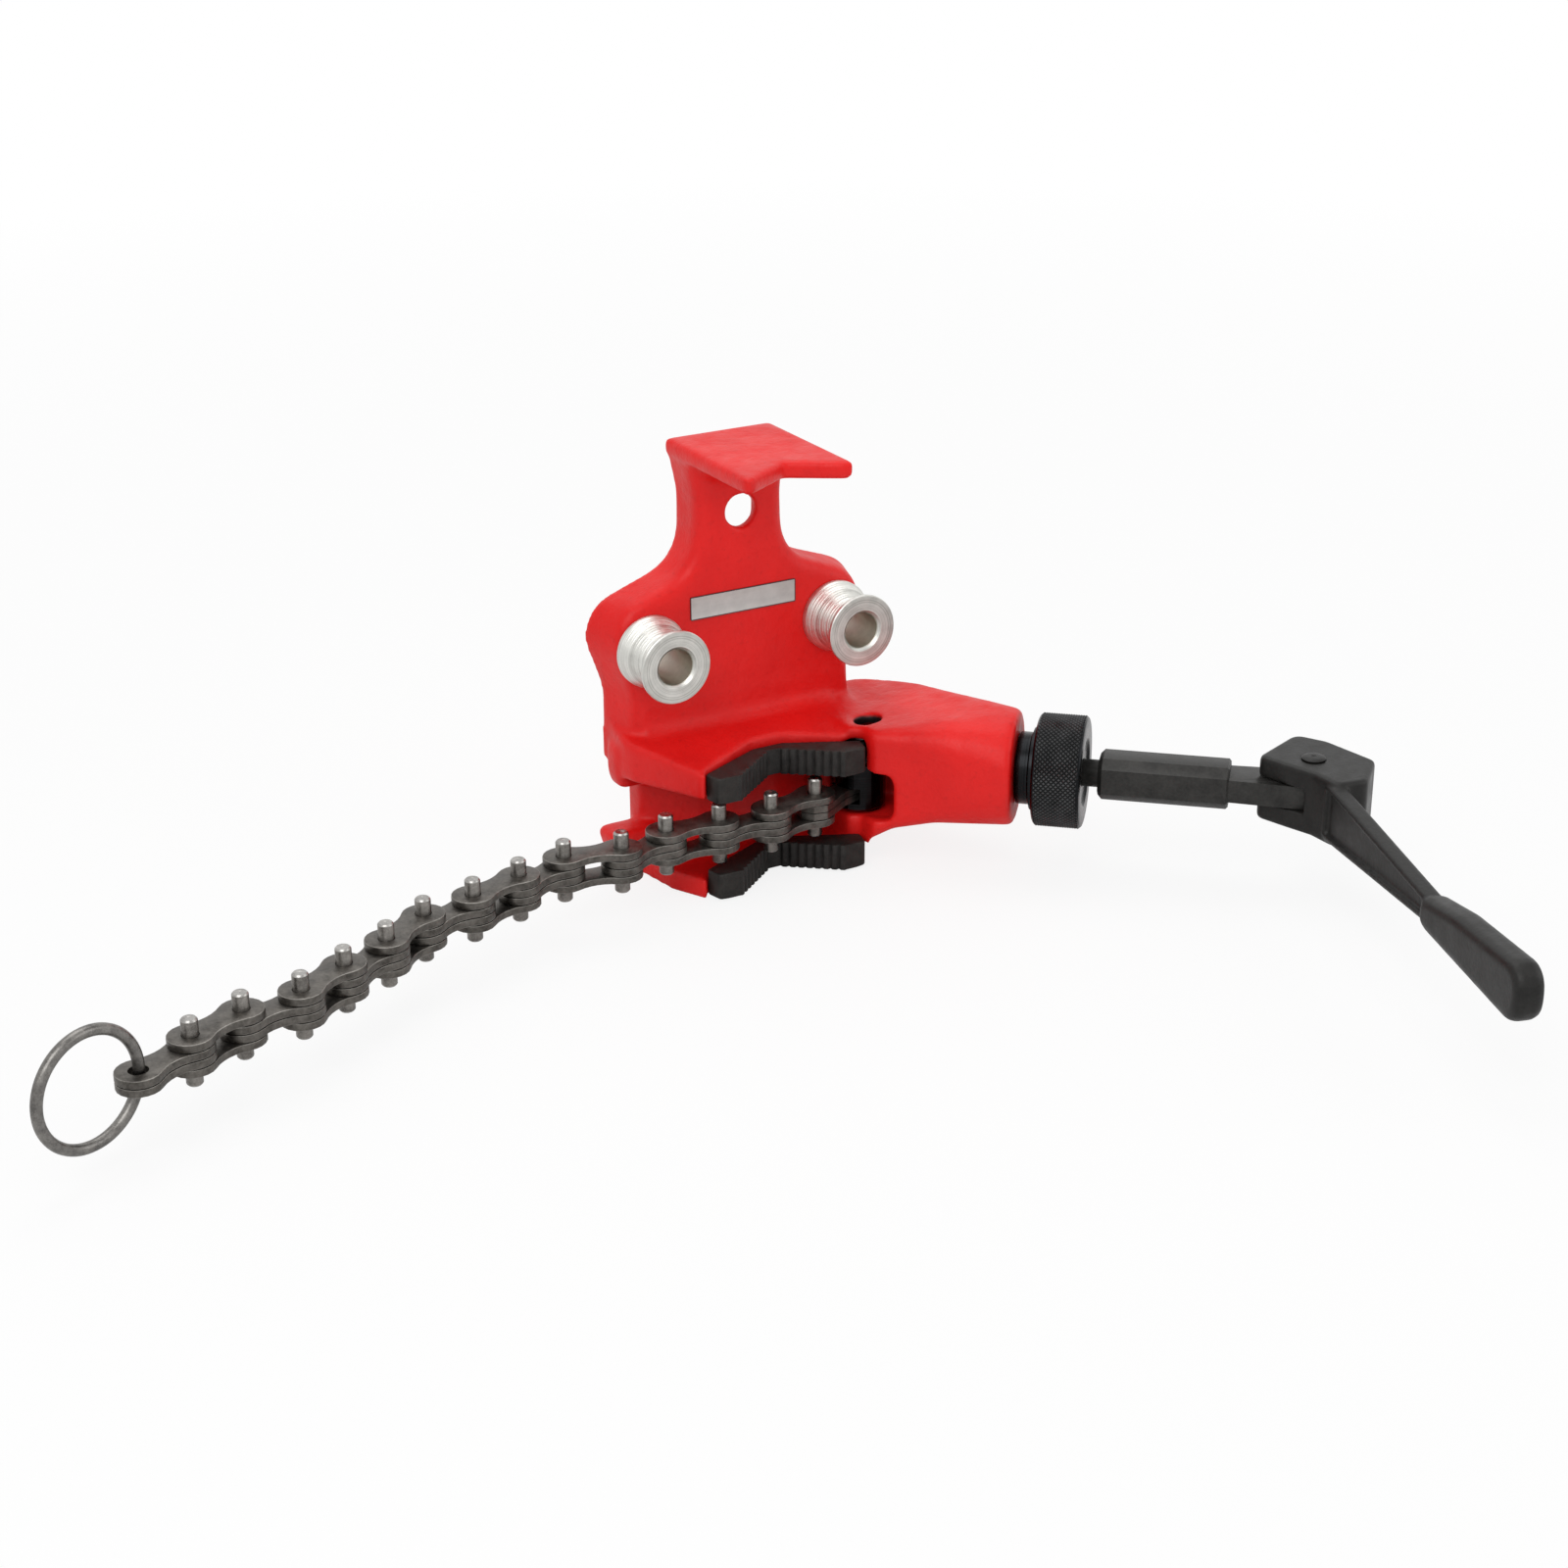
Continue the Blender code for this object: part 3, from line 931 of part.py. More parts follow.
def build_chain(anchor, heading, materials):
    """Anchor link, then outer and inner links in turn, each on a pivot at its pin, then the ring."""
    steel = materials["chain_steel"]
    hole = PIN_RADIUS + FIT
    eyes = (EYE_RADIUS, EYE_RADIUS)
    anchor_plate = link_mesh("anchor_link", ANCHOR_PITCH, ANCHOR_WAIST_HALF, (ANCHOR_EYE_RADIUS, EYE_RADIUS),
                             (ANCHOR_PIN_RADIUS + FIT, hole), steel)
    plain_plate = link_mesh("chain_link", CHAIN_PITCH, WAIST_HALF, eyes, (hole, hole), steel)
    ring_plate = link_mesh("ring_link", CHAIN_PITCH, WAIST_HALF, eyes, (hole, RING_EYE_RADIUS), steel)
    pin = pin_mesh(materials["pin_steel"])
    inner_top, inner_bottom = FIT / 2, -FIT / 2 - PLATE_THICK
    outer_top, outer_bottom = PLATE_THICK + FIT * 1.5, -2 * PLATE_THICK - FIT * 1.5

    turn = pivot("anchor_link_pivot", (0.0, 0.0, CHAIN_HEIGHT), heading - ARM_ANGLE, anchor)
    place_piece("anchor_plate_top", anchor_plate, turn, (0.0, 0.0, inner_top))
    place_piece("anchor_plate_bottom", anchor_plate, turn, (0.0, 0.0, inner_bottom))
    reach = ANCHOR_PITCH
    number = 1
    for index, angle in enumerate(LINK_ANGLES):
        outer = index % 2 == 0
        name = f"{'outer' if outer else 'inner'}_link_{index // 2 + 1}"
        turn = pivot(name + "_pivot", (reach, 0.0, 0.0), angle - heading, turn)
        heading = angle
        reach = CHAIN_PITCH
        if outer:
            place_piece(name + "_top", plain_plate, turn, (0.0, 0.0, outer_top))
            place_piece(name + "_bottom", plain_plate, turn, (0.0, 0.0, outer_bottom))
            for at in (0.0, CHAIN_PITCH):
                place_piece(f"chain_pin_{number:02d}", pin, turn, (at, 0.0, 0.0))
                number += 1
        else:
            plate = ring_plate if index == len(LINK_ANGLES) - 1 else plain_plate
            place_piece(name + "_top", plate, turn, (0.0, 0.0, inner_top))
            place_piece(name + "_bottom", plate, turn, (0.0, 0.0, inner_bottom))
    turn = pivot("ring_pivot", (reach, 0.0, 0.0), RING_ANGLE - heading, turn)
    offset = math.sqrt(RING_RADIUS ** 2 - RING_LIFT ** 2)
    bm = bmesh.new()
    made = bmesh.ops.create_circle(bm, segments=WIRE_SIDES, radius=RING_WIRE_RADIUS,
                                   matrix=Matrix.Translation((RING_RADIUS, 0.0, 0.0)))
    geometry = made["verts"] + list(bm.edges)
    bmesh.ops.spin(bm, geom=geometry, cent=(0, 0, 0), axis=(0, 1, 0), dvec=(0, 0, 0), angle=2 * math.pi,
                   steps=RING_STEPS, use_merge=True, use_duplicate=False)
    bmesh.ops.translate(bm, verts=bm.verts, vec=(offset, 0.0, RING_LIFT))
    ring = finish(new_object("pull_ring", bm), materials["ring_wire"])
    ring.parent = turn


def main():
    clear_scene()
    materials = make_materials()
    build_casting(materials["red_paint"])
    build_jaw("upper_jaw", UPPER_JAW_FOOT, materials["black_oxide"])
    build_jaw("lower_jaw", LOWER_JAW_FOOT, materials["black_oxide"])
    build_jaw_screw("upper_jaw_screw", UPPER_JAW_FOOT, materials["blued_steel"])
    build_jaw_screw("lower_jaw_screw", LOWER_JAW_FOOT, materials["blued_steel"])
    bobbin = bobbin_mesh(materials["zinc"])
    place_piece("left_bobbin", bobbin, None, (-BOBBIN_HALF_SPACING, 0.0, BOBBIN_HEIGHT))
    place_piece("right_bobbin", bobbin, None, (BOBBIN_HALF_SPACING, 0.0, BOBBIN_HEIGHT))

    arm = arm_matrix()
    anchor_world = arm @ Vector((DRAW_AT, 0.0, 0.0))
    draw = pivot("draw_pivot", anchor_world, ARM_ANGLE)
    heading = math.atan2(FIRST_JOINT_Y - anchor_world.y, FIRST_JOINT_X - anchor_world.x)
    build_draw(draw, heading - ARM_ANGLE, materials)
    build_chain(draw, heading, materials)
    spindle = pivot("spindle_pivot", arm @ Vector((0.0, 0.0, SCREW_HEIGHT)), ARM_ANGLE)
    build_spindle(spindle, materials)
    fold = pivot("lever_pivot", (LEVER_PIN_AT, 0.0, 0.0), LEVER_ANGLE, spindle)
    build_lever(fold, materials)


main()
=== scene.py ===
# %% [markdown]
# # Chain pipe vise
# A cast, red-painted body holds two toothed V jaws, two turned bobbins and the arm of a draw screw.
# A hook chain lies in front of it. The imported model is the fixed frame: each finished piece below is
# built in the place of its CAD solid, rides on the same body, and adds what the solid leaves out, such
# as soft cast edges, turned grooves, a real knurl and worn plate edges.

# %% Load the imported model
import json
import math

import bmesh
import bpy
from mathutils import Matrix, Vector


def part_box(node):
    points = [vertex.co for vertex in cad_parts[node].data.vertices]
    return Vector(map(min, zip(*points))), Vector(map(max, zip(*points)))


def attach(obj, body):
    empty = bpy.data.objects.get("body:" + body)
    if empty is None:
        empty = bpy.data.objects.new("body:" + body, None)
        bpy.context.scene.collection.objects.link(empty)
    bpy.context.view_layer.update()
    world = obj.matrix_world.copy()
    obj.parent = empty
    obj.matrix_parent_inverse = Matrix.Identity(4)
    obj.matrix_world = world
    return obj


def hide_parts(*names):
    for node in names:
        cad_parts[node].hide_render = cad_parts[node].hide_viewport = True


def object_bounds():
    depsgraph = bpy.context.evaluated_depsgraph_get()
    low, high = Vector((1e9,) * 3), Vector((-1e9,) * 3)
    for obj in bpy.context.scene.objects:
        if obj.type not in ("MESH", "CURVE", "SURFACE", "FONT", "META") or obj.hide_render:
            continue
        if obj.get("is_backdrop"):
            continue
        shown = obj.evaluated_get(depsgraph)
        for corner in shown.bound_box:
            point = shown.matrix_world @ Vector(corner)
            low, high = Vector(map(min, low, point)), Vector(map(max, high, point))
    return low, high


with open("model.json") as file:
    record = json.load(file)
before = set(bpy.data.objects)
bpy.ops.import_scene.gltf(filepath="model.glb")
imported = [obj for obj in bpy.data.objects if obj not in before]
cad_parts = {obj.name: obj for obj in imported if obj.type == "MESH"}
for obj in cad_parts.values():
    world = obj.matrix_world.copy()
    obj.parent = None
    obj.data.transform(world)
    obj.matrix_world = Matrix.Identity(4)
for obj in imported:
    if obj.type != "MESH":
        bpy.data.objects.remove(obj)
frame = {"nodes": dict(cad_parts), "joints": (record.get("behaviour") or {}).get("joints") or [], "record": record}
cad_low, cad_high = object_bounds()
JOINTS = {joint["name"]: joint for joint in frame["joints"]}
BODY_OF = {node: body for body, nodes in frame["record"]["behaviour"]["bodies"].items() for node in nodes}
MM = 0.001
print(len(frame["nodes"]), "solids,", len(JOINTS), "joints, size", [round(v, 4) for v in cad_high - cad_low])

# %% [markdown]
# ## Camera
# The photograph is taken from the left front and a little above, with a lens of about 63 mm. The
# camera is turned by its own three directions, so its roll is kept too.

# %% Camera
CAMERA_AT = Vector((-0.47003, -0.86962, 0.44829))
YAW, PITCH, ROLL = math.radians(29.27), math.radians(23.05), math.radians(0.36)
LENS = 62.94

forward = Vector((math.sin(YAW) * math.cos(PITCH), math.cos(YAW) * math.cos(PITCH), -math.sin(PITCH)))
level = Vector((math.cos(YAW), -math.sin(YAW), 0.0))
down = forward.cross(level)
right = math.cos(ROLL) * level + math.sin(ROLL) * down
drop = math.cos(ROLL) * down - math.sin(ROLL) * level
camera = bpy.data.objects.new("camera", bpy.data.cameras.new("camera"))
camera.data.lens = LENS
camera.data.clip_end = 50.0
camera.matrix_world = Matrix.Translation(CAMERA_AT) @ Matrix((right, -drop, -forward)).transposed().to_4x4()
bpy.context.scene.collection.objects.link(camera)
bpy.context.scene.camera = camera
bpy.context.scene.view_settings.view_transform = "Standard"
print("camera looks along", [round(v, 3) for v in forward])

# %% [markdown]
# ## Shader arithmetic
# A finish is worked out from a few patterns. `Shade` wraps one socket, so that an expression such as
# `mask * 0.5 + 0.2` adds the Math nodes by itself. `Finish` is one material: `node` adds any other node,
# with its settings set before its sockets are filled.

# %% Shade and Finish
class Shade:
    """One output socket; arithmetic with it adds the Math nodes that work it out."""

    def __init__(self, socket):
        self.socket = socket

    def work(self, operation, first, second):
        node = self.socket.id_data.nodes.new("ShaderNodeMath")
        node.operation = operation
        for place, value in enumerate((first, second)):
            connect(node.inputs[place], value)
        return Shade(node.outputs[0])

    def __add__(self, other):
        return self.work("ADD", self, other)

    def __mul__(self, other):
        return self.work("MULTIPLY", self, other)


def connect(socket, value):
    """Fill a socket with a link from a Shade, or with a plain value."""
    if isinstance(value, Shade):
        socket.id_data.links.new(value.socket, socket)
    else:
        socket.default_value = value


class Finish:
    """One Principled material, built from patterns on the piece's own coordinates."""

    def __init__(self, name, place=None, turn=(0.0, 0.0, 0.0)):
        self.material = bpy.data.materials.new(name)
        self.material.use_nodes = True
        self.tree = self.material.node_tree
        self.shader = self.tree.nodes["Principled BSDF"]
        self.point = self.node("TexCoord", output="Object")
        if place is not None:
            self.point = self.node("Mapping", {"vector_type": "TEXTURE"},
                                   {"Vector": self.point, "Location": place, "Rotation": turn})

    def node(self, kind, settings=None, sockets=None, output=0):
        made = self.tree.nodes.new("ShaderNode" + kind)
        for key, value in (settings or {}).items():
            setattr(made, key, value)
        for key, value in (sockets or {}).items():
            connect(made.inputs[key], value)
        return Shade(made.outputs[output])

    def noise(self, scale, detail=2.0, roughness=0.5, point=None):
        return self.node("TexNoise", {}, {"Vector": point or self.point, "Scale": scale, "Detail": detail,
                                          "Roughness": roughness})

    def span(self, value, low, high, start=0.0, end=1.0):
        """Share of the way from low to high, kept within start and end."""
        return self.node("MapRange", {"clamp": True}, {"Value": value, "From Min": low, "From Max": high,
                                                       "To Min": start, "To Max": end})

    def blend(self, share, first, second):
        return self.node("Mix", {"data_type": "RGBA"}, {0: share, 6: first, 7: second}, 2)

    def stretched(self, shares):
        """The coordinates drawn out by a share for each axis."""
        return self.node("VectorMath", {"operation": "MULTIPLY"}, {0: self.point, 1: shares})

    def radius(self, shares):
        """Distance from the axis that has the share 0."""
        return self.node("VectorMath", {"operation": "LENGTH"}, {0: self.stretched(shares)}, 1)

    def relief(self, height, depth):
        """Bump from a height pattern; depth is what a height of 1 stands for, in metres."""
        return self.node("Bump", {}, {"Height": height, "Distance": depth, "Strength": 1.0})

    def done(self, **sockets):
        for key, value in sockets.items():
            connect(self.shader.inputs[key.replace("_", " ")], value)
        return self.material


# %% [markdown]
# ## Red paint
# The body is cast iron under a semi-gloss powder coat. The coat has the fine skin of an orange peel,
# lies over a slightly wavy sand-cast surface, and is a little uneven in tone. Three noises of
# different size make the relief: the peel of about 1 mm, grit of about 2 mm and waves of about 8 mm.
# The paint round the upright hole in the top of the arm is darkened with painted shade, because little light
# reaches into it.

# %% Red paint
HOLE_SHADE_WITHIN, RED_BEYOND = 5.3 * MM, 5.9 * MM


def red_paint():
    paint = Finish("red_paint")
    tone = paint.noise(28.0, 3.0)
    peel = paint.noise(1100.0, 2.0, 0.55)
    wave = paint.noise(130.0, 3.0, 0.5)
    grit = paint.noise(420.0, 2.0, 0.6)
    base = paint.blend(paint.span(tone, 0.3, 0.7), (0.680, 0.0065, 0.0060, 1), (0.820, 0.0110, 0.0095, 1))
    gritty = paint.blend(paint.span(grit, 0.56, 0.72, 0.0, 0.22), base, (0.46, 0.0040, 0.0040, 1))
    level_point = paint.stretched((1, 1, 0))
    # Painted shade: the colour turns near black within the upright hole in the arm, standing in for the shade in
    # its depth.
    off_axis = paint.node("VectorMath", {"operation": "DISTANCE"}, {0: level_point, 1: DRIFT_HOLE}, 1)
    colour = paint.blend(paint.span(off_axis, HOLE_SHADE_WITHIN, RED_BEYOND), (0.012, 0.006, 0.006, 1), gritty)
    return paint.done(Base_Color=colour, Roughness=paint.span(wave, 0.3, 0.7, 0.36, 0.50),
                      Normal=paint.relief(peel * 0.08 + grit * 0.16 + wave * 0.38, MM),
                      Specular_IOR_Level=0.28)


# %% [markdown]
# ## Oxide, steel and zinc
# The jaws are blacked steel, almost dull. Chain plates and pins are dark, oiled steel, and the faces
# that rub are lighter. Bare steel is fully metallic and a black coat only partly, and the roughness
# changes over a few millimetres.

# %% Steel finishes
def steel(name, dark, light, rough, metallic=1.0, grain=900.0, depth=0.03, patch=120.0, gloss=0.5,
          stretch=(1.0, 1.0, 1.0)):
    """Metal whose tone wanders between two colours, with a grain and patches in its roughness."""
    metal = Finish(name)
    patches = metal.noise(patch, 4.0, 0.6)
    fine = metal.noise(grain, 3.0, 0.6, metal.stretched(stretch))
    tone = metal.span(patches * 0.65 + fine * 0.35, 0.36, 0.64)
    return metal.done(Base_Color=metal.blend(tone, dark, light), Metallic=metallic, Specular_IOR_Level=gloss,
                      Roughness=metal.span(patches, 0.3, 0.7, *rough),
                      Normal=metal.relief(fine * depth + patches * depth, MM))


def turned_metal(name, place, turn, along, across, dark, light, rough, depth=0.05, pitch=2600.0):
    """Lathe-turned metal: tone, gloss and relief run in rings round the piece's own axis."""
    metal = Finish(name, place, turn)
    at = metal.node("VectorMath", {"operation": "DOT_PRODUCT"}, {0: metal.point, 1: along}, 1)
    rings = metal.node("CombineXYZ", {}, {"X": at, "Y": metal.radius(across)})
    groove = metal.noise(pitch, 2.0, 0.6, rings)
    wide = metal.noise(pitch / 6, 2.0, 0.5, rings)
    smear = metal.noise(260.0, 4.0, 0.6)
    tone = metal.span(groove * 0.45 + wide * 0.35 + smear * 0.20, 0.38, 0.62)
    return metal.done(Base_Color=metal.blend(tone, dark, light), Metallic=1.0,
                      Roughness=metal.span(smear * 0.5 + wide * 0.5, 0.3, 0.7, *rough),
                      Normal=metal.relief(groove * depth + wide * depth, MM))


# %% [markdown]
# The arm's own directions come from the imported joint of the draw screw: its axis points from the wheel
# to the jaws, so the opposite direction is the way out along the screw. The upright hole for driving
# the chain's anchor pin lies a little inward of the joint's own point.

# %% Arm directions
DRIFT_INWARD = 0.9 * MM
spindle = JOINTS["spindle_turn"]
SCREW_AT = Vector(spindle["pos_m"])
OUTWARD = -Vector(spindle["axis"]).normalized()
ARM_TURN = math.atan2(OUTWARD.y, OUTWARD.x)
ARM = Matrix.Translation(SCREW_AT) @ Matrix.Rotation(ARM_TURN, 4, "Z")
DRIFT_HOLE = (SCREW_AT - OUTWARD * DRIFT_INWARD) * Vector((1.0, 1.0, 0.0))
print("screw runs at", round(math.degrees(ARM_TURN), 1), "degrees, height", SCREW_AT.z)

# %% Make the finishes
PAINT = red_paint()
OXIDE = steel("black_oxide", (0.016, 0.0145, 0.0135, 1), (0.036, 0.033, 0.030, 1), (0.42, 0.62),
              metallic=0.45, grain=1500, patch=260, gloss=0.35)
TOOTH = steel("tooth_oxide", (0.010, 0.0092, 0.0086, 1), (0.034, 0.031, 0.029, 1), (0.50, 0.70),
              metallic=0.35, grain=1500, depth=0.04, patch=260, gloss=0.35)
CHAIN = steel("chain_steel", (0.056, 0.051, 0.045, 1), (0.150, 0.139, 0.125, 1), (0.32, 0.50),
              metallic=0.85, grain=800, patch=190)
WORN = steel("worn_steel", (0.13, 0.122, 0.112, 1), (0.28, 0.265, 0.245, 1), (0.28, 0.42),
             grain=1500, depth=0.02, patch=300)
PINS = steel("pin_steel", (0.12, 0.112, 0.103, 1), (0.28, 0.265, 0.245, 1), (0.24, 0.40),
             grain=1500, depth=0.02, patch=240)
BRIGHT = steel("cut_steel", (0.24, 0.23, 0.22, 1), (0.44, 0.43, 0.41, 1), (0.22, 0.36),
               grain=1500, depth=0.02, patch=300)
FORGED = steel("forged_black", (0.0080, 0.0077, 0.0072, 1), (0.0180, 0.0172, 0.0160, 1), (0.34, 0.50),
               metallic=0.15, grain=700, depth=0.07, patch=150, gloss=0.28)
MILLED = steel("milled_black", (0.0150, 0.0145, 0.0135, 1), (0.0380, 0.0365, 0.0340, 1), (0.32, 0.46),
               metallic=0.30, depth=0.05, patch=150, gloss=0.35)
WIRE = steel("ring_wire", (0.11, 0.105, 0.10, 1), (0.25, 0.24, 0.225, 1), (0.26, 0.40),
             grain=1800, depth=0.02, patch=260)
BORED = steel("bored_zinc", (0.46, 0.445, 0.37, 1), (0.62, 0.60, 0.51, 1), (0.30, 0.42),
              metallic=0.9, grain=500, depth=0.006, patch=50)
LABEL = steel("label_face", (0.46, 0.45, 0.435, 1), (0.56, 0.55, 0.53, 1), (0.38, 0.50),
              metallic=0.35, grain=500, depth=0.01, patch=200, stretch=(0.05, 1.0, 1.0))
RIM = steel("label_rim", (0.03, 0.022, 0.022, 1), (0.05, 0.035, 0.035, 1), (0.5, 0.6),
            metallic=0.0, depth=0.02, patch=300)
BLUED = turned_metal("blued_steel", SCREW_AT, (0, 0, ARM_TURN), (1, 0, 0), (0, 1, 1),
                     (0.0070, 0.0074, 0.0080, 1), (0.022, 0.023, 0.025, 1), (0.20, 0.34), depth=0.02)
print(len(bpy.data.materials), "materials")

# %% [markdown]
# ## Tools for making pieces
# Every piece ends in the same way: its mesh is shaded by angle and its object sits at the origin. It
# takes the place of a CAD node on that node's body, apart from the label plate, which has no node.

# %% Piece helpers
FLAT_WITHIN = math.radians(0.6)


def make_piece(name, bm, finishes, nodes, body=None, sharp=35.0):
    """Turn a bmesh into a piece that rides with, and stands for, the nodes it replaces."""
    mesh = bpy.data.meshes.new(name)
    bm.to_mesh(mesh)
    bm.free()
    for finish in finishes:
        mesh.materials.append(finish)
    mesh.polygons.foreach_set("use_smooth", [True] * len(mesh.polygons))
    mesh.set_sharp_from_angle(angle=math.radians(sharp))
    piece = bpy.data.objects.new(name, mesh)
    bpy.context.scene.collection.objects.link(piece)
    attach(piece, body or BODY_OF[nodes[0]])
    if nodes:
        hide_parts(*nodes)
    return piece


def lathe(profile, steps, place):
    """Closed solid of revolution about local Z from (radius, height) points in millimetres."""
    bm = bmesh.new()
    points = [bm.verts.new((radius * MM, 0.0, height * MM)) for radius, height in profile]
    edges = [bm.edges.new(pair) for pair in zip(points, points[1:])]
    if min(profile[0][0], profile[-1][0]) > 0.0:
        edges.append(bm.edges.new((points[-1], points[0])))
    bmesh.ops.spin(bm, geom=points + edges, cent=(0, 0, 0), axis=(0, 0, 1), angle=math.tau, steps=steps,
                   use_merge=True, use_duplicate=False)
    bmesh.ops.remove_doubles(bm, verts=bm.verts, dist=1e-6)
    bmesh.ops.transform(bm, matrix=place, verts=bm.verts)
    bmesh.ops.recalc_face_normals(bm, faces=bm.faces)
    return bm


def merged_copy(node):
    """The CAD node's mesh with its loose triangles joined."""
    bm = bmesh.new()
    bm.from_mesh(frame["nodes"][node].data)
    bmesh.ops.remove_doubles(bm, verts=bm.verts, dist=2e-6)
    return bm


def broken_edges(bm, width, angle=25.0):
    """Bevel each edge that turns by more than the angle, in degrees."""
    bmesh.ops.dissolve_limit(bm, angle_limit=FLAT_WITHIN, verts=bm.verts, edges=bm.edges)
    chosen = [edge for edge in bm.edges if edge.calc_face_angle(0.0) > math.radians(angle)]
    bmesh.ops.bevel(bm, geom=chosen, offset=width, segments=2, profile=0.5, affect="EDGES",
                    clamp_overlap=True, material=-1)
    bmesh.ops.recalc_face_normals(bm, faces=bm.faces)


# %% [markdown]
# ## The casting
# A sand casting has no sharp edge and no perfect flat: every inside corner has a fillet. Bevels would
# have to be set edge by edge on this shape, so the solid is remeshed with small voxels instead, and
# the new mesh is smoothed, which rounds outside and inside corners alike by about a millimetre.

# %% Casting skin
CAST_VOXEL, LEVER_VOXEL = 1.0 * MM, 0.5 * MM
SMOOTH_ROUNDS, SMOOTH_SHARE = 8, 0.5


def cast_skin(node, voxel):
    """Voxel-remeshed and smoothed bmesh of a CAD node."""
    helper_mesh = bpy.data.meshes.new("skin_helper")
    bm = merged_copy(node)
    bm.to_mesh(helper_mesh)
    bm.free()
    helper = bpy.data.objects.new("skin_helper", helper_mesh)
    bpy.context.scene.collection.objects.link(helper)
    remesh = helper.modifiers.new("voxels", "REMESH")
    remesh.mode = "VOXEL"
    remesh.voxel_size = voxel
    graph = bpy.context.evaluated_depsgraph_get()
    skin = bpy.data.meshes.new_from_object(helper.evaluated_get(graph))
    bpy.data.objects.remove(helper)
    bm = bmesh.new()
    bm.from_mesh(skin)
    bpy.data.meshes.remove(skin)
    bpy.data.meshes.remove(helper_mesh)
    for _ in range(SMOOTH_ROUNDS):
        bmesh.ops.smooth_vert(bm, verts=bm.verts, factor=SMOOTH_SHARE, use_axis_x=True, use_axis_y=True,
                              use_axis_z=True)
    print(node, "skin has", len(bm.faces) * 2, "triangles")
    return bm


make_piece("casting", cast_skin("body_casting", CAST_VOXEL), [PAINT], ["body_casting"], sharp=80)

# %% [markdown]
# ## Bare label plate
# A thin plate is fixed to the front of the casting between the bobbins. It is left bare. It is a
# bevelled slab, with a dark rim round its face.

# %% Label plate
LABEL_HALF, LABEL_LOW, LABEL_HIGH, LABEL_PROUD = 22.7, 99.7, 108.9, 0.45
LABEL_CORNER, LABEL_RIM, LABEL_SUNK = 0.5, 0.35, 0.12


def label_plate():
    size = (2 * LABEL_HALF * MM, 2 * LABEL_PROUD * MM, (LABEL_HIGH - LABEL_LOW) * MM)
    bm = bmesh.new()
    bmesh.ops.create_cube(bm, size=1.0)
    bmesh.ops.scale(bm, vec=size, verts=bm.verts)
    bmesh.ops.translate(bm, vec=(0.0, 0.0, (LABEL_HIGH + LABEL_LOW) / 2 * MM), verts=bm.verts)
    corners = [edge for edge in bm.edges if abs(edge.verts[0].co.y - edge.verts[1].co.y) > LABEL_PROUD * MM]
    bmesh.ops.bevel(bm, geom=corners, offset=LABEL_CORNER * MM, segments=3, profile=0.5, affect="EDGES",
                    material=-1)
    front = [face for face in bm.faces if face.normal.y < -0.9]
    bmesh.ops.inset_region(bm, faces=front, thickness=LABEL_RIM * MM, depth=0.0)
    bmesh.ops.translate(bm, vec=(0.0, LABEL_SUNK * MM, 0.0), verts=front[0].verts)
    for face in bm.faces:
        face.material_index = 0 if face in front else 1
    return bm


make_piece("label_plate", label_plate(), [LABEL, RIM], [], body="body", sharp=20)

# %% [markdown]
# ## Jaws
# Both jaws are blacked steel, with rows of hollow-ground teeth on the inner faces. The outline comes
# from the solid, and each edge is broken with a fine bevel, so that it catches the light.

# %% Jaws
JAW_EDGE, TEETH_HALF, TEETH_REACH = 0.22 * MM, 23.8 * MM, 16.5 * MM
for jaw in ("upper_jaw", "lower_jaw"):
    bm = merged_copy(jaw)
    broken_edges(bm, JAW_EDGE)
    low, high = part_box(jaw)
    for face in bm.faces:
        middle = face.calc_center_median()
        in_notch = abs(middle.x) < TEETH_HALF and middle.y < low.y + TEETH_REACH
        looks_out = abs(face.normal.z) < 0.5 and face.normal.y < 0.35
        face.material_index = 1 if in_notch and looks_out else 0
    piece = make_piece(jaw + "_ground", bm, [OXIDE, TOOTH], [jaw], sharp=28)
    print(piece.name, len(piece.data.polygons), "faces")

# %% [markdown]
# ## Bobbins
# Two turned rollers, zinc plated. Each has a rim on the plate, a cone that narrows to a waist, and a
# disc with a bored and chamfered hole. A lathe leaves fine grooves on the cone, so the profile that is
# spun carries them as small steps.

# %% Bobbins
GROOVES, RIDGE, RIDGE_BEFORE = 25, 0.03, 0.20
GROOVE_DEPTHS = (0.09, 0.13, 0.10, 0.15, 0.11)
CONE_FROM, CONE_TO = (14.05, 2.4), (9.45, 14.6)
BORE_FINISH_WITHIN = 7.5 * MM


def bobbin_profile():
    """(radius, distance in front of the plate) in millimetres, all round the section."""
    points = [(7.0, -8.0), (9.0, -8.0), (9.0, -0.3), (13.6, -0.3), (14.05, 0.2), (14.1, 0.9), (14.1, 2.2)]
    for number in range(GROOVES):
        share = (number + 1) / (GROOVES + 1)
        radius, at = (start + (end - start) * share for start, end in zip(CONE_FROM, CONE_TO))
        depth = GROOVE_DEPTHS[number % len(GROOVE_DEPTHS)]
        points += [(radius + RIDGE, at - RIDGE_BEFORE), (radius - depth, at)]
    points += [(9.35, 14.9), (9.3, 15.6), (9.45, 16.3), (10.2, 17.1), (11.6, 18.3), (13.2, 19.6),
               (13.9, 20.2), (14.15, 20.5), (14.2, 20.9), (14.15, 21.6), (13.85, 21.95), (13.3, 22.0),
               (11.5, 21.98), (9.2, 21.96), (8.2, 21.95), (7.15, 21.0), (7.0, 20.7)]
    return points


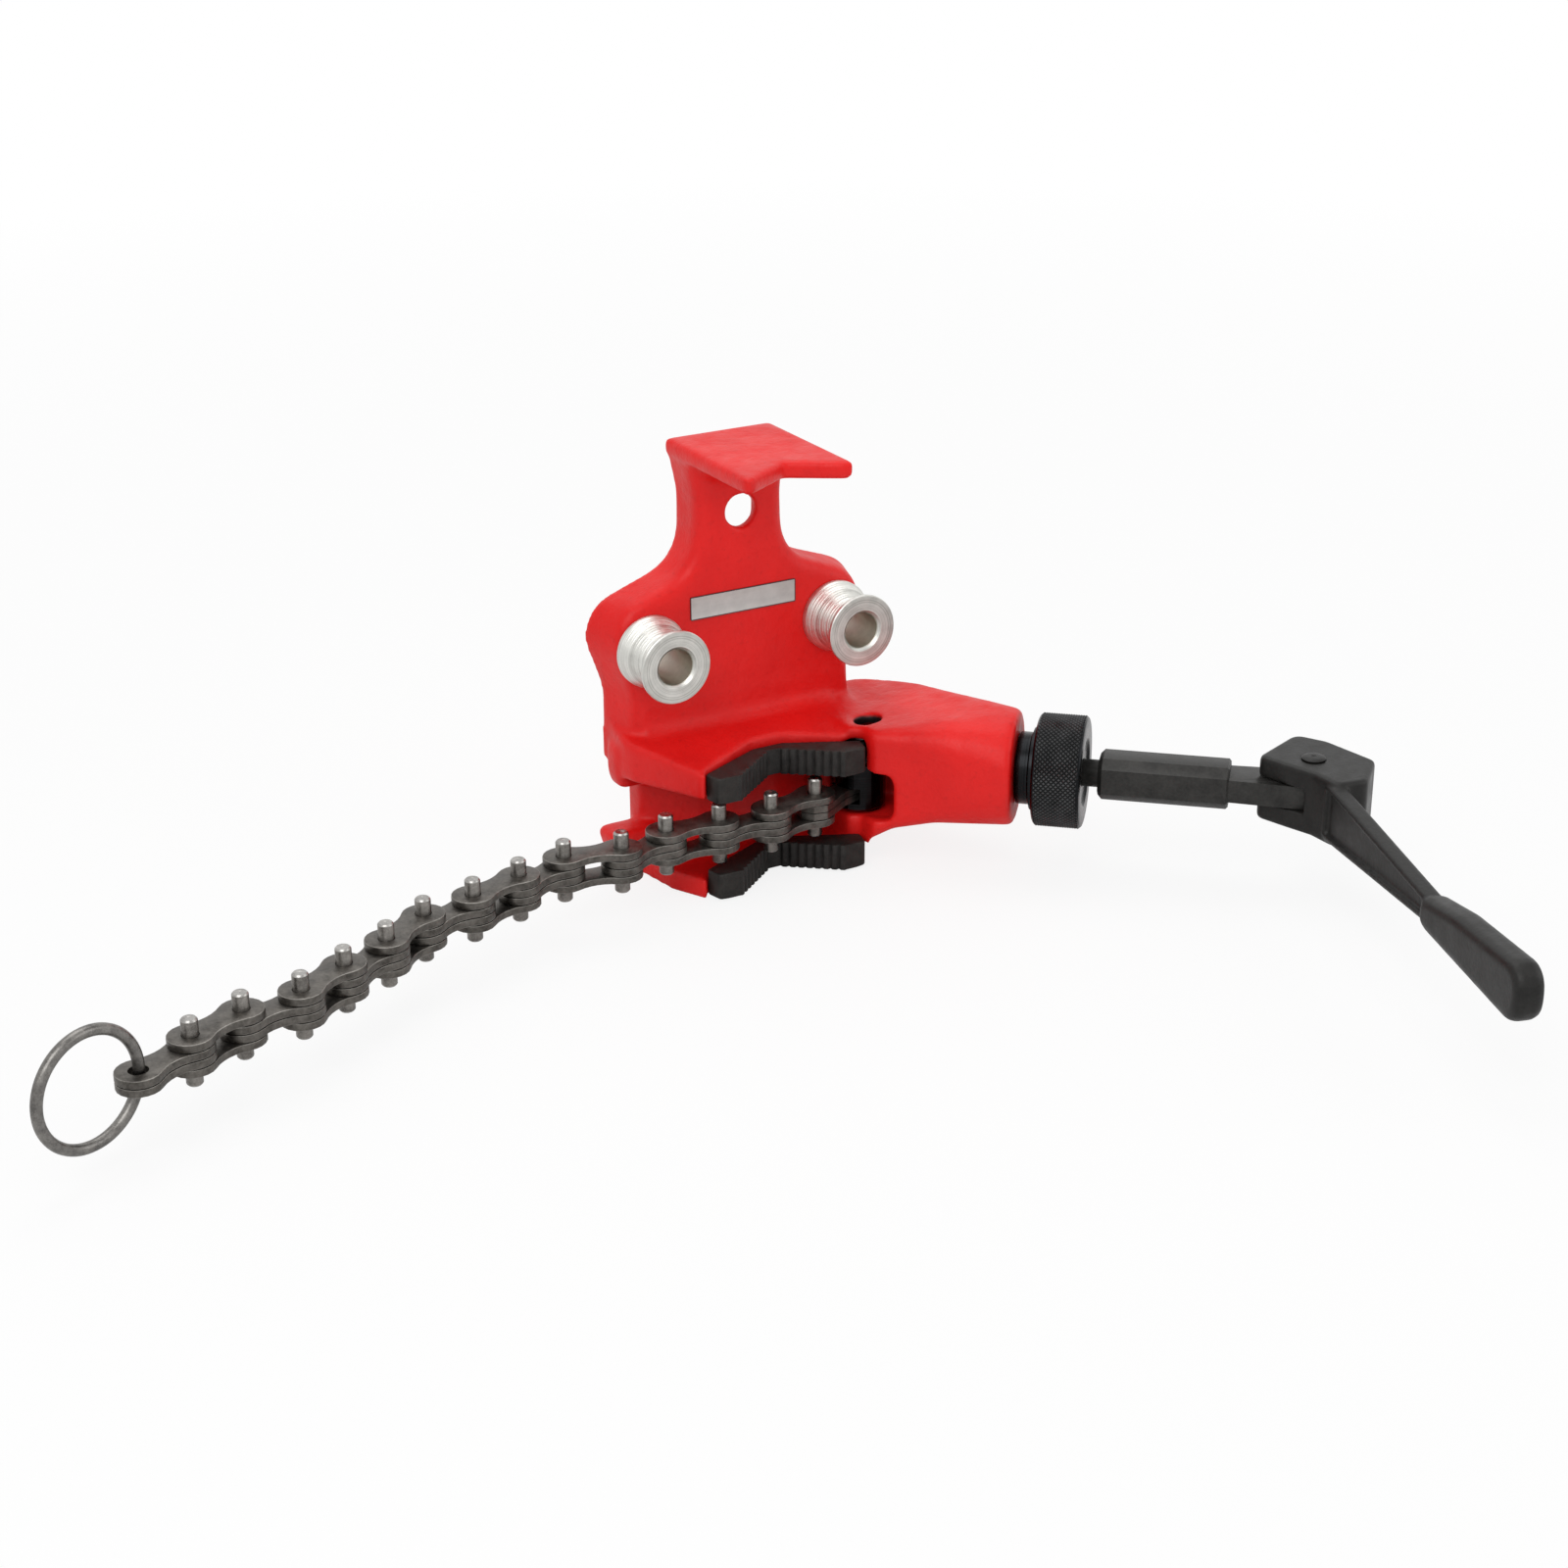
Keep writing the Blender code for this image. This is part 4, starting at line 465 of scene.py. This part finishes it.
for side in ("left_bobbin", "right_bobbin"):
    low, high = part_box(side)
    middle = Vector(((low.x + high.x) / 2, 0.0, (low.z + high.z) / 2))
    place = Matrix.Translation(middle) @ Matrix.Rotation(math.radians(90), 4, "X")
    zinc = turned_metal(side + "_zinc", middle, (0, 0, 0), (0, 1, 0), (1, 0, 1), (0.44, 0.435, 0.405, 1),
                        (0.80, 0.795, 0.755, 1), (0.34, 0.48), 0.04, 1700)
    bm = lathe(bobbin_profile(), 96, place)
    for face in bm.faces:
        off_axis = (face.calc_center_median() - middle).xz.length
        face.material_index = 1 if off_axis < BORE_FINISH_WITHIN else 0
    make_piece(side + "_turned", bm, [zinc, BORED], [side], sharp=25)
print("bobbins at x", round(middle.x, 4), "and its mirror")

# %% [markdown]
# ## Chain
# Seven outer links and seven inner links are pinned together. A plate is stamped, so its outline is
# two eyes and a waist, with small rounded edges that are worn bright. Each arc of the outline is spun
# from the last point of the one before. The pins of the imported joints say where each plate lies.

# %% Chain plate
EYE, WAIST, PLATE_EDGE = 7.8 * MM, 5.0 * MM, 0.24 * MM


def plate(pitch, thick, holes):
    """Stamped plate from the origin along X, thick high, with a hole at each end."""
    hollow = (pitch ** 2 / 4 + WAIST ** 2 - EYE ** 2) / (2 * (EYE - WAIST))
    aside = WAIST + hollow
    tangent = math.atan2(aside, pitch / 2)
    bm = bmesh.new()
    last = bm.verts.new((EYE * math.cos(tangent), EYE * math.sin(tangent), 0.0))
    arcs = (((0, 0), math.tau - 2 * tangent, 14), ((pitch / 2, -aside), 2 * tangent - math.pi, 6),
            ((pitch, 0), math.tau - 2 * tangent, 14), ((pitch / 2, aside), 2 * tangent - math.pi, 6))
    for (x, y), angle, steps in arcs:
        spun = bmesh.ops.spin(bm, geom=[last], cent=(x, y, 0), axis=(0, 0, 1), angle=angle, steps=steps,
                              use_merge=False, use_duplicate=False)
        last = next(item for item in spun["geom_last"] if isinstance(item, bmesh.types.BMVert))
    bmesh.ops.remove_doubles(bm, verts=bm.verts, dist=1e-5)
    for at, radius in zip((0.0, pitch), holes):
        bmesh.ops.create_circle(bm, segments=20, radius=radius, matrix=Matrix.Translation((at, 0, 0)))
    bmesh.ops.triangle_fill(bm, use_beauty=True, use_dissolve=False, edges=bm.edges)
    grown = bmesh.ops.extrude_face_region(bm, geom=bm.faces[:])["geom"]
    lifted = [item for item in grown if isinstance(item, bmesh.types.BMVert)]
    bmesh.ops.translate(bm, vec=(0, 0, thick), verts=lifted)
    bmesh.ops.recalc_face_normals(bm, faces=bm.faces)
    # A seam marks each sharp edge; the outer ones are bevelled below
    for edge in bm.edges:
        edge.seam = edge.calc_face_angle(0.0) > math.radians(60)
    rims = [edge for edge in bm.edges if edge.seam and
            min((edge.verts[0].co.xy - Vector((at, 0))).length for at in (0.0, pitch)) > 1.3 * max(holes)]
    made = bmesh.ops.bevel(bm, geom=rims, offset=PLATE_EDGE, segments=2, profile=0.5, affect="EDGES",
                           clamp_overlap=True, material=-1)
    for face in made["faces"]:
        face.material_index = 1
    return bm


def joint_place(name):
    return Vector(JOINTS[name]["pos_m"])


LINKS = [f"{kind}_link_{number}" for number in range(1, 8) for kind in ("outer", "inner")]
STOPS = [joint_place(link + "_hinge") for link in LINKS] + [joint_place("ring_hinge")]
PIN_HOLE, RING_HOLE = 3.05 * MM, 3.4 * MM
for link, start, end in zip(LINKS, STOPS, STOPS[1:]):
    run = end - start
    holes = (PIN_HOLE, RING_HOLE if link == LINKS[-1] else PIN_HOLE)
    for level in ("top", "bottom"):
        node = f"{link}_{level}"
        low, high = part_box(node)
        bm = plate(run.length, high.z - low.z, holes)
        turn = Matrix.Rotation(math.atan2(run.y, run.x), 4, "Z")
        lie = Matrix.Translation((start.x, start.y, low.z)) @ turn
        bmesh.ops.transform(bm, matrix=lie, verts=bm.verts)
        make_piece(node + "_plate", bm, [CHAIN, WORN], [node], sharp=40)
print(len(LINKS), "links, pitch", round((STOPS[1] - STOPS[0]).length, 5))

# %% [markdown]
# The pins stand far out of the plates, because they hook behind the claws of the body. They are turned
# from bar, with a chamfer at each end and the small hollow of the lathe centre.

# %% Chain pins
PIN_RADIUS, PIN_END = 2.85, 0.6
for number in range(1, len(LINKS) + 1):
    node = f"chain_pin_{number:02d}"
    low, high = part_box(node)
    half = (high.z - low.z) / 2 / MM
    rounding = [(PIN_RADIUS, 0.7), (PIN_RADIUS - 0.1, 0.5), (PIN_RADIUS - 0.55, 0.0), (0.5, 0.0), (0.0, 0.25)]
    profile = [(radius, -half + inset) for radius, inset in reversed(rounding)]
    profile += [(radius, half - inset) for radius, inset in rounding]
    place = Matrix.Translation((low + high) / 2)
    bm = lathe(profile, 28, place)
    for face in bm.faces:
        from_middle = abs(face.calc_center_median().z - place.translation.z)
        face.material_index = 1 if from_middle > (half - PIN_END) * MM else 0
    make_piece(node + "_turned", bm, [PINS, BRIGHT], [node], sharp=30)
print("pin length", round(2 * half, 2), "mm")

# %% [markdown]
# ## Pull ring
# A ring of bright-drawn wire goes through the last link. A small circle is spun round the ring's
# middle, in the upright plane that holds the last pin.

# %% Pull ring
def pull_ring():
    low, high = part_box("pull_ring")
    middle = (low + high) / 2
    away = middle - joint_place("ring_hinge")
    lie = Matrix.Translation(middle) @ Matrix.Rotation(math.atan2(away.y, away.x), 4, "Z")
    wire, clear = 2.0 * MM, 0.2 * MM
    bm = bmesh.new()
    made = bmesh.ops.create_circle(bm, segments=16, radius=wire,
                                   matrix=Matrix.Translation(((high.z - low.z) / 2 - wire - clear, 0, 0)))
    bmesh.ops.spin(bm, geom=made["verts"] + bm.edges[:], cent=(0, 0, 0), axis=(0, 1, 0), angle=math.tau,
                   steps=80, use_merge=True, use_duplicate=False)
    bmesh.ops.remove_doubles(bm, verts=bm.verts, dist=1e-6)
    bmesh.ops.recalc_face_normals(bm, faces=bm.faces)
    bmesh.ops.transform(bm, matrix=lie, verts=bm.verts)
    return bm


make_piece("pull_ring_wire", pull_ring(), [WIRE], ["pull_ring"], sharp=60)

# %% [markdown]
# ## Knurled wheel
# The wheel is turned in one piece with its hub. Its rim is knurled: two rows of slanting cuts leave
# small pyramids. A fine grid spun round the axis gives a chessboard of points; every second point is
# pushed in, and each square is split between its two low points, so that the high ones become tips.

# %% Knurled wheel
TIPS, ROWS, CUT = 72, 17, 0.52
WHEEL, RIM_START, RIM_END = 21.9, 66.9, 82.9
KNURL_BEYOND, KNURL_OUTSIDE = 0.2, 20.0


def wheel():
    profile = [(6.3, 58.3), (13.2, 58.3), (13.8, 58.6), (14.0, 59.1), (14.0, 63.2), (14.3, 63.5),
               (16.0, 64.0), (16.0, 65.6), (20.4, 65.6), (21.0, 65.9), (21.5, 66.4)]
    profile += [(WHEEL, RIM_START + (RIM_END - RIM_START) * row / ROWS) for row in range(ROWS + 1)]
    profile += [(21.5, 83.5), (21.0, 84.0), (20.4, 84.2), (14.3, 84.2), (13.5, 84.15), (12.6, 83.3),
                (12.4, 83.2), (5.6, 83.2), (5.6, 74.3), (6.3, 74.3)]
    bm = lathe(profile, 2 * TIPS, Matrix())
    step = math.tau / (2 * TIPS)
    pitch = (RIM_END - RIM_START) / ROWS
    low = set()
    for vert in bm.verts:
        radius = vert.co.xy.length
        row = (vert.co.z / MM - RIM_START) / pitch
        if abs(radius - WHEEL * MM) > 1e-6 or not -0.1 < row < ROWS + 0.1:
            continue
        column = round(math.atan2(vert.co.y, vert.co.x) / step)
        if (column + round(row)) % 2 == 0:
            vert.co.xy *= 1.0 - CUT * MM / radius
            low.add(vert)
    for face in [face for face in bm.faces if sum(vert in low for vert in face.verts) == 2]:
        first, second = [vert for vert in face.verts if vert in low]
        if first not in [edge.other_vert(second) for edge in second.link_edges]:
            bmesh.utils.face_split(face, first, second)
    bmesh.ops.transform(bm, matrix=ARM @ Matrix(((0, 0, 1, 0), (1, 0, 0, 0), (0, 1, 0, 0), (0, 0, 0, 1))),
                        verts=bm.verts)
    bmesh.ops.recalc_face_normals(bm, faces=bm.faces)
    return bm


def knurl_finish():
    """Blued steel whose knurl tips are rubbed brighter than its cuts."""
    metal = Finish("knurl_blued", SCREW_AT, (0, 0, ARM_TURN))
    tips = metal.span(metal.radius((0, 1, 1)), (WHEEL - CUT) * MM, WHEEL * MM)
    patches = metal.noise(180.0, 3.0, 0.6)
    cut = metal.blend(patches, (0.0035, 0.0038, 0.0042, 1), (0.0105, 0.0110, 0.0120, 1))
    colour = metal.blend(tips * metal.span(patches, 0.3, 0.7, 0.45, 1.0), cut, (0.132, 0.133, 0.135, 1))
    return metal.done(Base_Color=colour, Metallic=0.85, Roughness=metal.span(patches, 0.3, 0.7, 0.24, 0.38),
                      Normal=metal.relief(metal.noise(1500.0) * 0.02, MM))


bm = wheel()
inverse = ARM.inverted()
for face in bm.faces:
    at = inverse @ face.calc_center_median()
    on_rim = RIM_START - KNURL_BEYOND < at.x / MM < RIM_END + KNURL_BEYOND
    face.material_index = 1 if on_rim and at.yz.length > KNURL_OUTSIDE * MM else 0
piece = make_piece("knurled_wheel", bm, [BLUED, knurl_finish()], ["knurled_knob"], sharp=24)
print("wheel has", len(piece.data.polygons), "faces")

# %% [markdown]
# ## Drive bar, lever and its pin
# The bar is milled to eight sides, with broken edges. The lever is a forging with soft edges all over,
# so it is remeshed as the body is, with finer voxels. Its pin is headed over at both ends, like a rivet.

# %% Bar, lever and pin
BAR_EDGE = 0.35 * MM
bm = merged_copy("drive_bar")
broken_edges(bm, BAR_EDGE, 28.0)
make_piece("drive_bar_milled", bm, [MILLED], ["drive_bar"], sharp=30)
make_piece("lever_cast", cast_skin("lever", LEVER_VOXEL), [FORGED], ["lever"], sharp=80)

low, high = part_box("lever_pin")
half = (high.z - low.z) / 2 / MM
rivet = [(0.0, -half), (2.6, -half), (4.1, -half + 0.25), (4.6, -half + 0.65), (4.55, -half + 0.9),
         (4.0, -half + 0.9), (4.0, half - 0.9), (4.55, half - 0.9), (4.6, half - 0.65), (4.1, half - 0.25),
         (2.6, half), (1.1, half), (0.8, half - 0.2), (0.0, half - 0.3)]
bm = lathe(rivet, 40, Matrix.Translation((low + high) / 2))
make_piece("lever_rivet", bm, [FORGED], ["lever_pin"], sharp=30)

# %% [markdown]
# ## Solids that stay
# The draw block, the anchor link and the screws are mostly hidden and already have their real shape,
# so they keep their meshes and only get a finish.

# %% Finishes of the solids that stay
THREAD = turned_metal("screw_thread", SCREW_AT, (0, 0, ARM_TURN), (1, 0, 0), (0, 1, 1),
                      (0.10, 0.10, 0.095, 1), (0.30, 0.29, 0.28, 1), (0.25, 0.4), depth=0.15, pitch=900)
low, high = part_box("draw_block")
BLOCK = turned_metal("block_black", (low + high) / 2, (0, 0, 0), (0, 0, 1), (1, 1, 0),
                     (0.0060, 0.0060, 0.0062, 1), (0.018, 0.018, 0.019, 1), (0.18, 0.30), depth=0.01)
STAYING = {"draw_block": BLOCK, "anchor_pin": PINS, "anchor_plate_top": CHAIN, "anchor_plate_bottom": CHAIN,
           "draw_screw": THREAD, "upper_jaw_screw": OXIDE, "lower_jaw_screw": OXIDE}
for node, finish in STAYING.items():
    frame["nodes"][node].material_slots[0].material = finish
print(sorted(STAYING))

# %% [markdown]
# ## Light and floor
# Large, soft lamps stand at the left, the right and above. The world gives the rest of the light, and
# shows white to the camera and in reflections. To the camera the floor is mostly a glow of its own, and
# only that from a certain distance on, so it keeps a soft shadow near the vise and ends in plain white.

# %% Lamps
AIM = Vector((-0.02, -0.03, 0.06))


def lamp(name, place, size, power):
    data = bpy.data.lights.new(name, "AREA")
    data.shape, data.size, data.energy = "SQUARE", size, power
    made = bpy.data.objects.new(name, data)
    made.location = place
    made.rotation_euler = (AIM - Vector(place)).to_track_quat("-Z", "Y").to_euler()
    bpy.context.scene.collection.objects.link(made)


lamp("key", (-0.75, -0.75, 1.05), 0.9, 7.0)
lamp("fill", (1.0, -0.9, 0.7), 0.9, 3.0)
lamp("top", (0.1, 0.35, 1.3), 1.0, 5.0)

# %% World and floor
AMBIENT = 0.52
FLOOR_HALF, FLOOR_BELOW = 6.0, 0.2 * MM
GLOW_NEAR, FADE_FROM, FADE_TO = 0.85, 0.35, 1.4

world = bpy.data.worlds.new("studio")
bpy.context.scene.world = world
world.use_nodes = True
background = world.node_tree.nodes["Background"]
rays = world.node_tree.nodes.new("ShaderNodeLightPath")
seen = Shade(rays.outputs["Is Camera Ray"]) + Shade(rays.outputs["Is Glossy Ray"]) + \
    Shade(rays.outputs["Is Transmission Ray"])
direct = seen.work("MINIMUM", seen, 1.0)
connect(background.inputs["Strength"], direct * (1.0 - AMBIENT) + AMBIENT)
background.inputs["Color"].default_value = (1.0, 1.0, 1.0, 1.0)

floor_mesh = bpy.data.meshes.new("floor")
bm = bmesh.new()
bmesh.ops.create_grid(bm, x_segments=1, y_segments=1, size=FLOOR_HALF)
bmesh.ops.translate(bm, vec=(0.0, 0.0, cad_low.z - FLOOR_BELOW), verts=bm.verts)
bm.to_mesh(floor_mesh)
bm.free()
floor = bpy.data.objects.new("floor", floor_mesh)
bpy.context.scene.collection.objects.link(floor)
ground = Finish("floor")
speck = ground.noise(3.0)
ground.done(Base_Color=ground.blend(speck, (0.86, 0.86, 0.86, 1), (0.90, 0.90, 0.90, 1)), Roughness=0.7)
glow = ground.node("Emission", {}, {"Color": (1, 1, 1, 1), "Strength": 1.0})
path = ground.node("LightPath", output="Is Camera Ray")
white_share = path * ground.span(ground.radius((1, 1, 0)), FADE_FROM, FADE_TO, GLOW_NEAR, 1.0)
mixed = ground.node("MixShader", {}, {0: white_share, 1: Shade(ground.shader.outputs[0]), 2: glow})
connect(ground.tree.nodes["Material Output"].inputs["Surface"], mixed)
floor_mesh.materials.append(ground.material)
floor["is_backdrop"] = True

# %% Sizes and finish
low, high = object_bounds()
print("visual size", [round(v, 4) for v in high - low])
